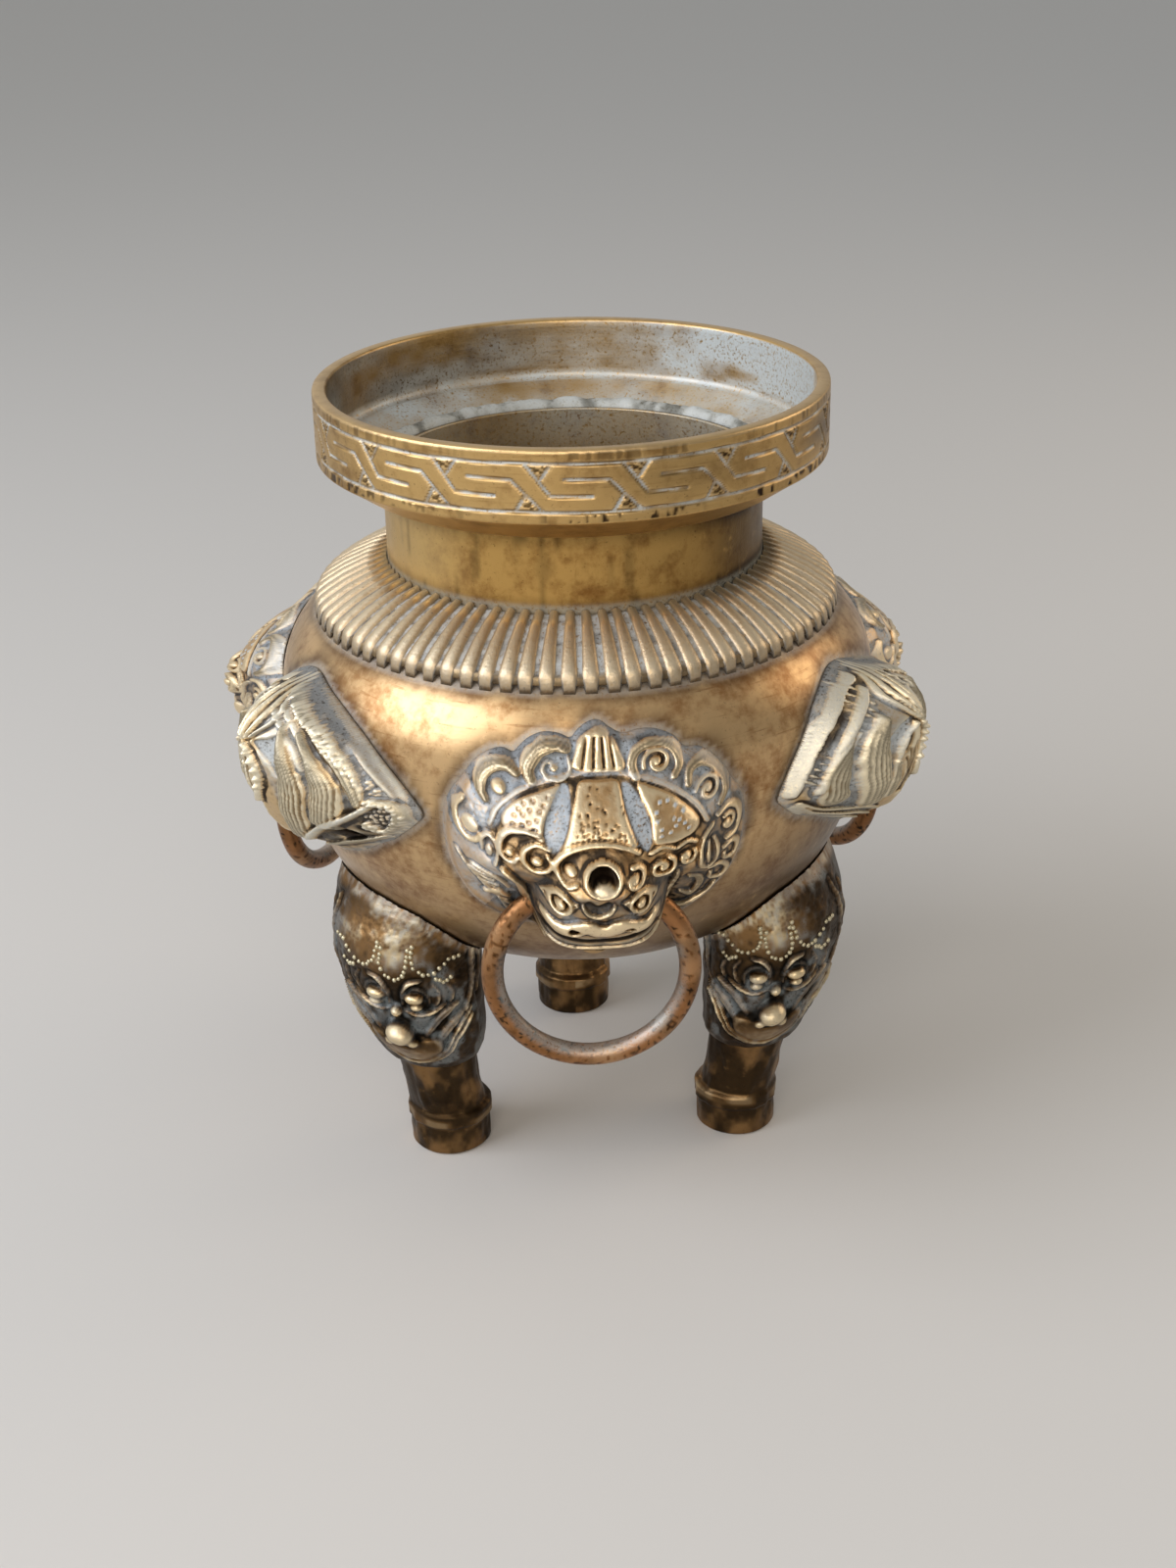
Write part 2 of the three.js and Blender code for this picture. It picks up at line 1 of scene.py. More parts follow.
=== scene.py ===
"""A brass tripod incense burner with lion masks, loose rings and beast-headed legs."""
import logging
import math
from collections.abc import Callable, Sequence
from dataclasses import dataclass, field
from enum import Enum
from typing import NamedTuple

import bpy
import numpy as np
from mathutils import Matrix, Vector


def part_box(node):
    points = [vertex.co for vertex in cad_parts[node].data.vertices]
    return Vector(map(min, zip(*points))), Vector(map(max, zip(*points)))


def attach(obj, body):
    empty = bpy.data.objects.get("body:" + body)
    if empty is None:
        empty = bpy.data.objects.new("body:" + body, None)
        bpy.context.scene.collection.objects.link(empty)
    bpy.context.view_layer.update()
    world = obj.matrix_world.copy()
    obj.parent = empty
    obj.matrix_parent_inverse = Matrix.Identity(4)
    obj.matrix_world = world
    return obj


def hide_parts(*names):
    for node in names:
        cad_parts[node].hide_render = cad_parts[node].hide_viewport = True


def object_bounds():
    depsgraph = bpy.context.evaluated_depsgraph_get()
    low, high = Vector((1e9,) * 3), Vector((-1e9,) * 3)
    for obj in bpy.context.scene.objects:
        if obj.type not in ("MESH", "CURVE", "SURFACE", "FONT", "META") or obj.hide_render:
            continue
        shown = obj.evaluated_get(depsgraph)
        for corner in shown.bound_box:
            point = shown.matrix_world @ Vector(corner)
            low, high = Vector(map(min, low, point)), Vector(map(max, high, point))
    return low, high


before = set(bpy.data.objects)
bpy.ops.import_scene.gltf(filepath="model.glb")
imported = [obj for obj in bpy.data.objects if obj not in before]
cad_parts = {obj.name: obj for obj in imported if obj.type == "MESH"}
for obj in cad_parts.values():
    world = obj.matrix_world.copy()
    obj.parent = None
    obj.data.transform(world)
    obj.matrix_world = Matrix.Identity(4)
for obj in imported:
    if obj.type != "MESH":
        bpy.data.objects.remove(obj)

CAD_BOX = [list(corner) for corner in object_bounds()]
MM = 0.001
VESSEL = "vessel"
log = logging.getLogger("censer")

Point = tuple[float, float]
Path = Sequence[Point]
Window = tuple[slice, slice]


class Slot(Enum):
    """The record's material slots."""

    POLISHED = "polished_brass"
    WORN = "worn_brass"
    CAST = "cast_brass"
    DARK = "dark_bronze"
    RING = "ring_bronze"
    SOLDER = "pale_solder"


class Layer(Enum):
    """What a mesh tells its material about each of its corners, from 0 to 1."""

    CAVITY = "cavity"
    PALE = "pale"
    DARK = "dark"


# Numbers, curves and grids


def smooth_path(points: Path, closed: bool = False, step: float = 0.35) -> np.ndarray:
    """Draws a smooth curve through points.

    Args:
        points: The points that the curve passes, in millimetres.
        closed: Whether the curve returns to its first point.
        step: The distance between the curve's own points.

    Returns:
        The curve's points, one row each.
    """
    knots = np.array(points, float)
    if closed:
        ring = np.vstack([knots[-1:], knots, knots[:2]])
    else:
        ring = np.vstack([2 * knots[0] - knots[1], knots, 2 * knots[-1] - knots[-2]])
    pieces = []
    for before, start, end, after in zip(ring, ring[1:], ring[2:], ring[3:]):
        count = max(int(np.linalg.norm(end - start) / step), 2)
        t = np.linspace(0, 1, count, endpoint=False)[:, None]
        pieces.append(0.5 * (2 * start + (end - before) * t
                             + (2 * before - 5 * start + 4 * end - after) * t**2
                             + (3 * start - before - 3 * end + after) * t**3))
    return np.vstack(pieces if closed else [*pieces, knots[-1:]])


def spiral_path(centre: Point, radius: float, turns: float, start: float, sense: int = 1) -> Path:
    """Winds a spiral inwards.

    Args:
        centre: Its middle.
        radius: Its first radius.
        turns: How many turns it makes.
        start: The direction of its first point, in degrees.
        sense: 1 winds to the left, -1 to the right.

    Returns:
        Points along the spiral.
    """
    share = np.linspace(0, 1, int(12 * turns) + 2)
    angle = np.radians(start) + sense * math.tau * turns * share
    reach = radius * (1 - 0.86 * share)
    return list(zip(centre[0] + reach * np.cos(angle), centre[1] + reach * np.sin(angle)))


def to_segments(x: np.ndarray, z: np.ndarray, path: np.ndarray) -> tuple[np.ndarray, ...]:
    """Measures points against a polyline.

    Args:
        x: The points' places across.
        z: The points' heights.
        path: The polyline's corners.

    Returns:
        Each point's distance, the share of the polyline's length at its nearest place, and
        1 or -1 for the side that it lies on.
    """
    start, step = path[:-1], np.diff(path, axis=0)
    lengths = np.maximum(np.linalg.norm(step, axis=1), 1e-6)
    before = np.concatenate([[0], np.cumsum(lengths)[:-1]])
    best = np.full(x.shape, np.inf)
    share = np.zeros(x.shape)
    side = np.ones(x.shape)
    for (sx, sz), (dx, dz), length, done in zip(start, step, lengths, before):
        t = np.clip(((x - sx) * dx + (z - sz) * dz) / length**2, 0, 1)
        distance = np.hypot(x - sx - t * dx, z - sz - t * dz)
        nearer = distance < best
        best = np.where(nearer, distance, best)
        share = np.where(nearer, done + t * length, share)
        side = np.where(nearer, np.sign(dx * (z - sz) - dz * (x - sx)), side)
    return best, share / lengths.sum(), side


def signed_distance(x: np.ndarray, z: np.ndarray, outline: np.ndarray) -> np.ndarray:
    """Measures points against a closed outline.

    Args:
        x: The points' places across.
        z: The points' heights.
        outline: The outline's corners.

    Returns:
        The distances, below zero inside the outline.
    """
    ring = np.vstack([outline, outline[:1]])
    distance = to_segments(x, z, ring)[0]
    inside = np.zeros(x.shape, bool)
    for (ax, az), (bx, bz) in zip(ring, ring[1:]):
        if az == bz:
            continue
        crosses = (az > z) != (bz > z)
        inside ^= crosses & (x < (bx - ax) * (z - az) / (bz - az) + ax)
    return np.where(inside, -distance, distance)


def lattice(u: np.ndarray, v: np.ndarray, seed: int, around: int = 97) -> np.ndarray:
    """Smooth random values from -1 to 1, one cell to each whole step of u and v.

    Args:
        u: First coordinate, which repeats after a number of cells.
        v: Second coordinate.
        seed: Which values are drawn.
        around: The number of cells after which u repeats.

    Returns:
        The values.
    """
    table = np.random.default_rng(seed).uniform(-1, 1, (around, 97))
    iu, iv = np.floor(u).astype(int), np.floor(v).astype(int)
    fu, fv = u - iu, v - iv
    fu, fv = fu * fu * (3 - 2 * fu), fv * fv * (3 - 2 * fv)
    low = table[iu % around, iv % 97] * (1 - fu) + table[(iu + 1) % around, iv % 97] * fu
    high = table[iu % around, (iv + 1) % 97] * (1 - fu) + table[(iu + 1) % around, (iv + 1) % 97] * fu
    return low * (1 - fv) + high * fv


def blurred(grid: np.ndarray, cells: float, wraps: bool = False) -> np.ndarray:
    """Blurs a grid with a bell curve.

    Args:
        grid: The values.
        cells: The curve's width in cells.
        wraps: Whether the second axis goes round and joins up.

    Returns:
        The blurred values.
    """
    half = max(int(cells * 2.5), 1)
    bell = np.exp(-0.5 * (np.arange(-half, half + 1) / cells) ** 2)
    bell /= bell.sum()
    for axis in (0, 1):
        mode = "wrap" if wraps and axis == 1 else "edge"
        pad = [(0, 0), (0, 0)]
        pad[axis] = (half, half)
        wide = np.pad(grid, pad, mode=mode)
        grid = np.apply_along_axis(np.convolve, axis, wide, bell, "valid")
    return grid


def eased(value: np.ndarray) -> np.ndarray:
    """Eases 0 to 1 with flat ends."""
    value = np.clip(value, 0, 1)
    return value * value * (3 - 2 * value)


def domed(value: np.ndarray) -> np.ndarray:
    """Turns 0 at an edge to 1 further in into a quarter round."""
    return np.sqrt(1 - (1 - np.clip(value, 0, 1)) ** 2)


# Meshes


def mesh_piece(name: str, points: np.ndarray, faces: list,
               layers: dict[Layer, np.ndarray]) -> bpy.types.Object:
    """Makes an object at the origin from points in millimetres.

    Args:
        name: The object's name.
        points: Corners in the row frame.
        faces: Corner numbers of each face.
        layers: Values for the material, one for each corner, in a row or a grid.

    Returns:
        The new object.
    """
    mesh = bpy.data.meshes.new(name)
    mesh.from_pydata((np.asarray(points) * MM).tolist(), [], faces)
    for layer in Layer:
        values = layers.get(layer)
        plain = 0.5 if layer is Layer.CAVITY else 0.0
        values = np.full(len(mesh.vertices), plain) if values is None else np.clip(values, 0, 1).ravel()
        attribute = mesh.attributes.new(layer.value, "FLOAT", "POINT")
        attribute.data.foreach_set("value", np.ascontiguousarray(values, np.float32))
    mesh.polygons.foreach_set("use_smooth", [True] * len(mesh.polygons))
    mesh.update()
    piece = bpy.data.objects.new(name, mesh)
    bpy.context.scene.collection.objects.link(piece)
    return piece


def settle(piece: bpy.types.Object) -> bpy.types.Object:
    """Turns a piece with modifiers into a plain mesh without them.

    Args:
        piece: The object.

    Returns:
        The same object.
    """
    bpy.context.view_layer.update()
    graph = bpy.context.evaluated_depsgraph_get()
    mesh = bpy.data.meshes.new_from_object(piece.evaluated_get(graph))
    piece.modifiers.clear()
    old = piece.data
    piece.data = mesh
    mesh.name = piece.name
    bpy.data.meshes.remove(old)
    return piece


def hand_over(piece: bpy.types.Object, material: bpy.types.Material, slot: Slot, *nodes: str,
              body: str = VESSEL) -> None:
    """Dresses a finished piece and hands it to the frame.

    Args:
        piece: The finished object.
        material: Its finish.
        slot: The record's slot that the finish belongs to; not used.
        nodes: The CAD nodes that it stands for.
        body: The CAD body that it moves with.
    """
    piece.data.materials.clear()
    piece.data.materials.append(material)
    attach(piece, body)
    if nodes:
        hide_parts(*nodes)
    log.info("%s: %d faces", piece.name, len(piece.data.polygons))


@dataclass
class Lathe:
    """A closed profile turned about the vessel's axis, as a grid of corners.

    Attributes:
        profile: Radius and height pairs; it starts and ends on the axis, or closes on itself.
        segments: Corners round the axis.
    """

    profile: np.ndarray
    segments: int

    def __post_init__(self) -> None:
        """Lays out the grid: one row for each profile point, one column for each segment."""
        angle = np.linspace(0, math.tau, self.segments, endpoint=False)
        self.angle = np.broadcast_to(angle, (len(self.profile), self.segments))
        self.radius = np.repeat(self.profile[:, :1], self.segments, axis=1)
        self.z = np.repeat(self.profile[:, 1:], self.segments, axis=1)

    def piece(self, name: str, layers: dict[Layer, np.ndarray]) -> bpy.types.Object:
        """Makes the mesh.

        Args:
            name: The object's name.
            layers: Values for the material, in grids of the same shape.

        Returns:
            The new object.
        """
        rows, columns = self.radius.shape
        has_poles = self.profile[0, 0] == 0
        x = AXIS.x + self.radius * np.sin(self.angle)
        y = AXIS.y - self.radius * np.cos(self.angle)
        points = np.stack([x, y, self.z], axis=-1).reshape(-1, 3)
        number = np.arange(rows * columns).reshape(rows, columns)
        if has_poles:
            number[0, :] = number[0, 0]
            number[-1, :] = number[-1, 0]
        low = number[:-1] if has_poles else number
        high = number[1:] if has_poles else np.roll(number, -1, axis=0)
        quads = np.stack([low, np.roll(low, -1, 1), np.roll(high, -1, 1), high], axis=-1).reshape(-1, 4)
        faces = [list(dict.fromkeys(quad)) for quad in quads.tolist()]
        used = np.unique(quads)
        place = np.zeros(rows * columns, int)
        place[used] = np.arange(len(used))
        faces = [[int(place[corner]) for corner in face] for face in faces]
        flat = {layer: np.broadcast_to(grid, (rows, columns)).reshape(-1)[used]
                for layer, grid in layers.items()}
        return mesh_piece(name, points[used], faces, flat)


def turned_place(x: np.ndarray, reach: np.ndarray, z: np.ndarray, turn: float) -> np.ndarray:
    """Sets places of a front piece round the vessel's axis.

    Args:
        x: Places across.
        reach: Distances forward from the axis.
        z: Heights.
        turn: The angle from the front, in degrees.

    Returns:
        Points in the row frame, one row each.
    """
    angle = math.radians(turn)
    east = AXIS.x + x * math.cos(angle) + reach * math.sin(angle)
    north = AXIS.y + x * math.sin(angle) - reach * math.cos(angle)
    return np.stack([east, north, z], axis=-1)


# Limits of a piece's reach in millimetres, and the slope below which a side of the box isn't met
FARTHEST_REACH = 200.0
BOX_MARGIN = 0.1
ALMOST_LEVEL = 0.05


def room_ahead(x: np.ndarray, turn: float) -> np.ndarray:
    """How far forward a piece that stands at an angle can reach inside the CAD model's box.

    Args:
        x: Places across.
        turn: The piece's angle from the front, in degrees.

    Returns:
        The longest reach at each place, in millimetres.
    """
    angle = math.radians(turn)
    low, high = np.array(CAD_BOX) / MM
    reach = np.full(x.shape, FARTHEST_REACH)
    starts = AXIS.x + x * math.cos(angle), AXIS.y + x * math.sin(angle)
    for axis, (start, along) in enumerate(zip(starts, (math.sin(angle), -math.cos(angle)))):
        if abs(along) > ALMOST_LEVEL:
            reach = np.minimum(reach, ((high if along > 0 else low)[axis] - start) / along)
    return reach - BOX_MARGIN


# The vessel's form, taken from the frame


@dataclass(frozen=True)
class BowlForm:
    """The bowl's outside, in millimetres: what every applied piece sits on."""

    axis: Vector
    radius: float
    bottom_z: float
    mouth_z: float
    mouth_radius: float = 37.7
    shoulder_height: float = 20.5
    roundness: float = 2.6
    wall: float = 2.4
    seam: float = 0.3

    @property
    def waist_z(self) -> float:
        """Height of the widest place."""
        return self.mouth_z - self.shoulder_height

    def radius_at(self, z: np.ndarray) -> np.ndarray:
        """Works out the outer radius at some heights.

        Args:
            z: The heights.

        Returns:
            The radii.
        """
        up = np.clip((z - self.waist_z) / self.shoulder_height, 0, 1)
        down = np.clip((self.waist_z - z) / (self.waist_z - self.bottom_z), 0, 1)
        above = self.mouth_radius + (self.radius - self.mouth_radius) * np.sqrt(1 - up**2)
        below = self.radius * (1 - down**self.roundness) ** (1 / self.roundness)
        return np.where(z >= self.waist_z, above, below)

    def reach_at(self, x: np.ndarray, z: np.ndarray) -> np.ndarray:
        """Tells how far forward the surface lies at places x across and z up."""
        return np.sqrt(np.maximum(self.radius_at(z) ** 2 - x**2, 1))

    def outline(self, inset: float, lower: int, upper: int) -> np.ndarray:
        """Draws half of the bowl's section.

        Args:
            inset: How far it is drawn in from the outside.
            lower: Steps below the widest place.
            upper: Steps above it.

        Returns:
            Radius and height pairs from the middle of the underside to the mouth.
        """
        turn = np.linspace(0, np.pi / 2, lower + 1)
        power = 2 / self.roundness
        out = (self.radius - inset) * np.sin(turn) ** power
        depth = (self.waist_z - self.bottom_z - inset) * np.cos(turn) ** power
        below = np.stack([out, self.waist_z - depth], axis=1)
        turn = np.linspace(0, np.pi / 2, upper + 1)[1:]
        out = self.mouth_radius + (self.radius - self.mouth_radius - inset) * np.cos(turn)
        above = np.stack([out, self.waist_z + (self.shoulder_height - inset) * np.sin(turn)], axis=1)
        return np.vstack([below, above])


def bowl_from_frame() -> BowlForm:
    """Reads the bowl's axis, width and height from the frame.

    Returns:
        The bowl's form.
    """
    low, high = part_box("bowl")
    middle = (low + high) / 2 / MM
    return BowlForm(middle, (high.x - low.x) / 2 / MM, low.z / MM, high.z / MM)


BOWL = bowl_from_frame()
AXIS = BOWL.axis


# Carving


@dataclass
class Carving:
    """A relief in millimetres on a flat patch, worked with a few hand tools.

    Attributes:
        low: The patch's lower left corner.
        high: Its upper right corner.
        pitch: The distance between two grid points.
        stretch: How much longer the sloping surface is than it is tall, at a place.
    """

    low: Point
    high: Point
    pitch: float = 0.28
    stretch: Callable[[float, float], float] = lambda x, z: 1.0
    height: np.ndarray = field(init=False)

    def __post_init__(self) -> None:
        """Lays out the grid."""
        counts = [int(round((b - a) / self.pitch)) + 1 for a, b in zip(self.low, self.high)]
        self.xs = np.linspace(self.low[0], self.high[0], counts[0])
        self.zs = np.linspace(self.low[1], self.high[1], counts[1])
        self.x, self.z = np.meshgrid(self.xs, self.zs)
        self.height = np.zeros_like(self.x)
        self.pale = np.zeros_like(self.x)
        self.dark = np.zeros_like(self.x)
        self.wobble = 1 + 0.13 * lattice(self.x / 1.6 + 50, self.z / 1.6, 99)

    def _laid(self, points: Path, margin: float,
              closed: bool = False) -> tuple[Window, np.ndarray, np.ndarray, np.ndarray]:
        """Lays a curve on the sloping surface.

        Args:
            points: Points on the curve.
            margin: How far its surroundings reach.
            closed: Whether it returns to its first point.

        Returns:
            The part of the grid around it, places there across and along the slope, and the curve.
        """
        knots = np.array(points, float)
        slope = self.stretch(*knots.mean(0))
        (x0, z0), (x1, z1) = knots.min(0) - margin - 0.6, knots.max(0) + margin + 0.6
        window = slice(*np.searchsorted(self.zs, (z0, z1))), slice(*np.searchsorted(self.xs, (x0, x1)))
        path = smooth_path(knots * [1, slope], closed) if len(knots) > 1 else knots * [1, slope]
        return window, self.x[window], self.z[window] * slope, path

    def _tint(self, window: Window, share: np.ndarray, pale: float, dark: float) -> None:
        """Moves the deposit and the dark toning towards new values.

        Args:
            window: The part of the grid.
            share: How far they move there, from 0 to 1.
            pale: The deposit's new value.
            dark: The toning's new value.
        """
        for grid, value in ((self.pale, pale), (self.dark, dark)):
            part = grid[window]
            part += (value - part) * share

    def ridge(self, points: Path, half: float, height: float, taper: Sequence[float] = (0.6, 1, 0.6),
              flutes: int = 0, pale: float = 0.0, dark: float = 0.0, moat: float = 0.35) -> None:
        """Raises a rounded ridge along a curve.

        Args:
            points: Points on the curve.
            half: Half of the ridge's width.
            height: Its height in the middle.
            taper: Shares of its width from its start to its end.
            flutes: How many fine lines are cut along it.
            pale: Its deposit.
            dark: Its dark toning.
            moat: How deep the ground is cut beside it.
        """
        window, x, z, path = self._laid(points, half + 1)
        distance, share, side = to_segments(x, z, path)
        width = half * np.interp(share, np.linspace(0, 1, len(taper)), taper) * self.wobble[window]
        across = np.clip(distance / width, 0, 1)
        form = height * np.sqrt(1 - across**2)
        line = np.zeros(x.shape)
        for place in np.linspace(-1, 1, flutes + 2)[1:-1]:
            line = np.maximum(line, eased(1.5 - np.abs(side * distance - place * width * 0.92) / 0.2))
        form = form - 0.4 * line * eased(share * 8)
        inside = distance < width
        ground = self.height[window]
        ground -= moat * eased(1 - (distance - width) / 0.7) * ~inside
        ground[inside] = np.maximum(ground, form)[inside]
        self._tint(window, eased((width - distance) / 0.4), pale, dark)
        self._tint(window, eased((width - distance) / 0.4) * line * 0.8, 0.0, 0.75)

    def spiral(self, centre: Point, radius: float, turns: float, start: float, sense: int = 1,
               half: float = 0.45, height: float = 1.0, pale: float = 0.0) -> None:
        """Raises a spiral with a bead in its middle.

        Args:
            centre: Its middle.
            radius: Its first radius.
            turns: How many turns it makes.
            start: The direction of its first point, in degrees.
            sense: 1 winds to the left, -1 to the right.
            half: Half of the ridge's width.
            height: Its height.
            pale: Its deposit.
        """
        self.sink_round(centre, (radius * 0.85, radius * 0.85), 0.6, dark=0.3)
        slope = self.stretch(*centre)
        wound = spiral_path(centre, radius, turns, start, sense)
        path = [(x, centre[1] + (z - centre[1]) / slope) for x, z in wound]
        self.ridge(path, half, height, (0.9, 1, 0.9), pale=pale)
        self.ball(centre, (half * 1.4, half * 1.4), height * 1.2, pale=pale)

    def hoop(self, centre: Point, radius: float, half: float, height: float, moat: float = 0.35) -> None:
        """Raises a closed ring.

        Args:
            centre: Its middle.
            radius: Its radius.
            half: Half of the ridge's width.
            height: Its height.
            moat: How deep the ground is cut beside it.
        """
        slope = self.stretch(*centre)
        turns = np.linspace(0, math.tau, 25)
        path = list(zip(centre[0] + radius * np.cos(turns), centre[1] + radius / slope * np.sin(turns)))
        self.ridge(path, half, height, (1, 1), moat=moat)

    def _out(self, centre: Point, radii: Point) -> tuple[Window, np.ndarray]:
        """The grid around a rounded spot, with 0 in its middle and 1 at its edge."""
        window, x, z, path = self._laid([centre], max(radii) + 1)
        return window, np.hypot((x - path[0, 0]) / radii[0], (z - path[0, 1]) / radii[1])

    def ball(self, centre: Point, radii: Point, height: float, pale: float = 0.0, dark: float = 0.0,
             moat: float = 0.3) -> None:
        """Raises a rounded knob.

        Args:
            centre: Its middle.
            radii: Its radii across and up.
            height: Its height.
            pale: Its deposit.
            dark: Its dark toning.
            moat: How deep the ground is cut beside it.
        """
        window, out = self._out(centre, radii)
        form = height * np.sqrt(np.clip(1 - out**2, 0, 1))
        ground = self.height[window]
        ground -= moat * eased(1 - (out - 1) * min(radii) / 0.6) * (out >= 1)
        ground[out < 1] = np.maximum(ground, form)[out < 1]
        self._tint(window, eased((1 - out) * min(radii) / 0.4), pale, dark)

    def sink_round(self, centre: Point, radii: Point, depth: float, pale: float = 0.0,
                   dark: float = 0.0) -> None:
        """Cuts a rounded hollow.

        Args:
            centre: Its middle.
            radii: Its radii across and up.
            depth: Its depth.
            pale: Its deposit.
            dark: Its dark toning.
        """
        window, out = self._out(centre, radii)
        share = eased((1 - out) * 1.6)
        self.height[window] -= depth * share
        self._tint(window, share, pale, dark)

    def groove(self, points: Path, half: float, depth: float, pale: float = 0.0, dark: float = 0.0) -> None:
        """Cuts a groove along a curve.

        Args:
            points: Points on the curve.
            half: Half of its width.
            depth: Its depth.
            pale: Its deposit.
            dark: Its dark toning.
        """
        window, x, z, path = self._laid(points, half + 1)
        share = eased(1.4 * (1 - to_segments(x, z, path)[0] / half))
        self.height[window] -= depth * share
        if pale or dark:
            self._tint(window, share, pale, dark)

    def panel(self, points: Path, height: float, edge: float = 0.8, pale: float = 0.0,
              dark: float = 0.0) -> None:
        """Raises a panel with rounded edges, or sinks it.

        Args:
            points: Points on its outline.
            height: Its height, below zero where it is sunk.
            edge: The radius of its edge.
            pale: Its deposit.
            dark: Its dark toning.
        """
        window, x, z, outline = self._laid(points, 1, closed=True)
        inside = -signed_distance(x, z, outline)
        form = height * domed(inside / edge)
        ground = self.height[window]
        if height > 0:
            np.maximum(ground, form, out=ground)
        else:
            ground += form
        self._tint(window, eased(inside / 0.5), pale, dark)

    def wash(self, points: Path, pale: float, dark: float, seed: int) -> None:
        """Lays an uneven film of deposit and dark toning over an area; a dark film also serves as painted
        shade.

        Args:
            points: Points on the area's outline.
            pale: Its deposit.
            dark: Its dark toning.
            seed: Which unevenness it has.
        """
        window, x, z, outline = self._laid(points, 1, closed=True)
        uneven = 0.75 + 0.45 * lattice(x / 1.4 + 30, z / 1.4, seed)
        share = eased(-signed_distance(x, z, outline) / 1.5)
        self._tint(window, share * np.clip(uneven, 0, 1), pale, dark)

    def dots(self, points: Path, radius: float, height: float, pale: float = 0.0, dark: float = 0.0) -> None:
        """Raises or punches small round dots.

        Args:
            points: Their middles.
            radius: Their radius.
            height: Their height, below zero where they are punched.
            pale: Their deposit.
            dark: Their dark toning.
        """
        for centre in points:
            window, out = self._out(centre, (radius, radius))
            share = np.sqrt(np.clip(1 - out**2, 0, 1))
            self.height[window] += height * share
            if pale or dark:
                self._tint(window, eased(share * 1.5), pale, dark)

    def stipple(self, outline: Path, spacing: float, radius: float, height: float, seed: int,
                pale: float = 0.0, dark: float = 0.0) -> None:
        """Scatters dots over an area, a little off a regular grid.

        Args:
            outline: Points on the area's outline.
            spacing: The grid's spacing.
            radius: The dots' radius.
            height: Their height, below zero where they are punched.
            seed: How they lie off the grid.
            pale: Their deposit.
            dark: Their dark toning.
        """
        ring = smooth_path(outline, closed=True)
        (x0, z0), (x1, z1) = ring.min(0), ring.max(0)
        x, z = np.meshgrid(np.arange(x0, x1, spacing), np.arange(z0, z1, spacing))
        rng = np.random.default_rng(seed)
        x = x + rng.uniform(-0.35, 0.35, x.shape) * spacing
        z = z + rng.uniform(-0.35, 0.35, z.shape) * spacing
        inside = signed_distance(x, z, ring) < -radius
        self.dots(list(zip(x[inside], z[inside])), radius, height, pale, dark)

    def roughen(self, cell: float, amount: float, seed: int) -> None:
        """Adds the uneven skin of a casting."""
        self.height += amount * lattice(self.x / cell + 40, self.z / cell, seed)

    def layers(self, surface: np.ndarray) -> dict[Layer, np.ndarray]:
        """Works out the material's values.

        Args:
            surface: The finished surface.

        Returns:
            A grid for each layer.
        """
        cavity = np.full(surface.shape, 0.5)
        for blur, gain in ((0.5, 1.0), (1.3, 0.42), (3.4, 0.12)):
            cavity += gain * (surface - blurred(surface, blur / self.pitch))
        return {Layer.CAVITY: cavity, Layer.PALE: self.pale, Layer.DARK: self.dark}

    def sample(self, grid: np.ndarray, x: np.ndarray, z: np.ndarray) -> np.ndarray:
        """Reads a grid of this carving between its points.

        Args:
            grid: The grid.
            x: Places across.
            z: Heights.

        Returns:
            The values there.
        """
        u = np.clip((x - self.low[0]) / (self.xs[1] - self.xs[0]), 0, len(self.xs) - 1.001)
        v = np.clip((z - self.low[1]) / (self.zs[1] - self.zs[0]), 0, len(self.zs) - 1.001)
        i, j = u.astype(int), v.astype(int)
        fu, fv = u - i, v - j
        low = grid[j, i] * (1 - fu) + grid[j, i + 1] * fu
        high = grid[j + 1, i] * (1 - fu) + grid[j + 1, i + 1] * fu
        return low * (1 - fv) + high * fv


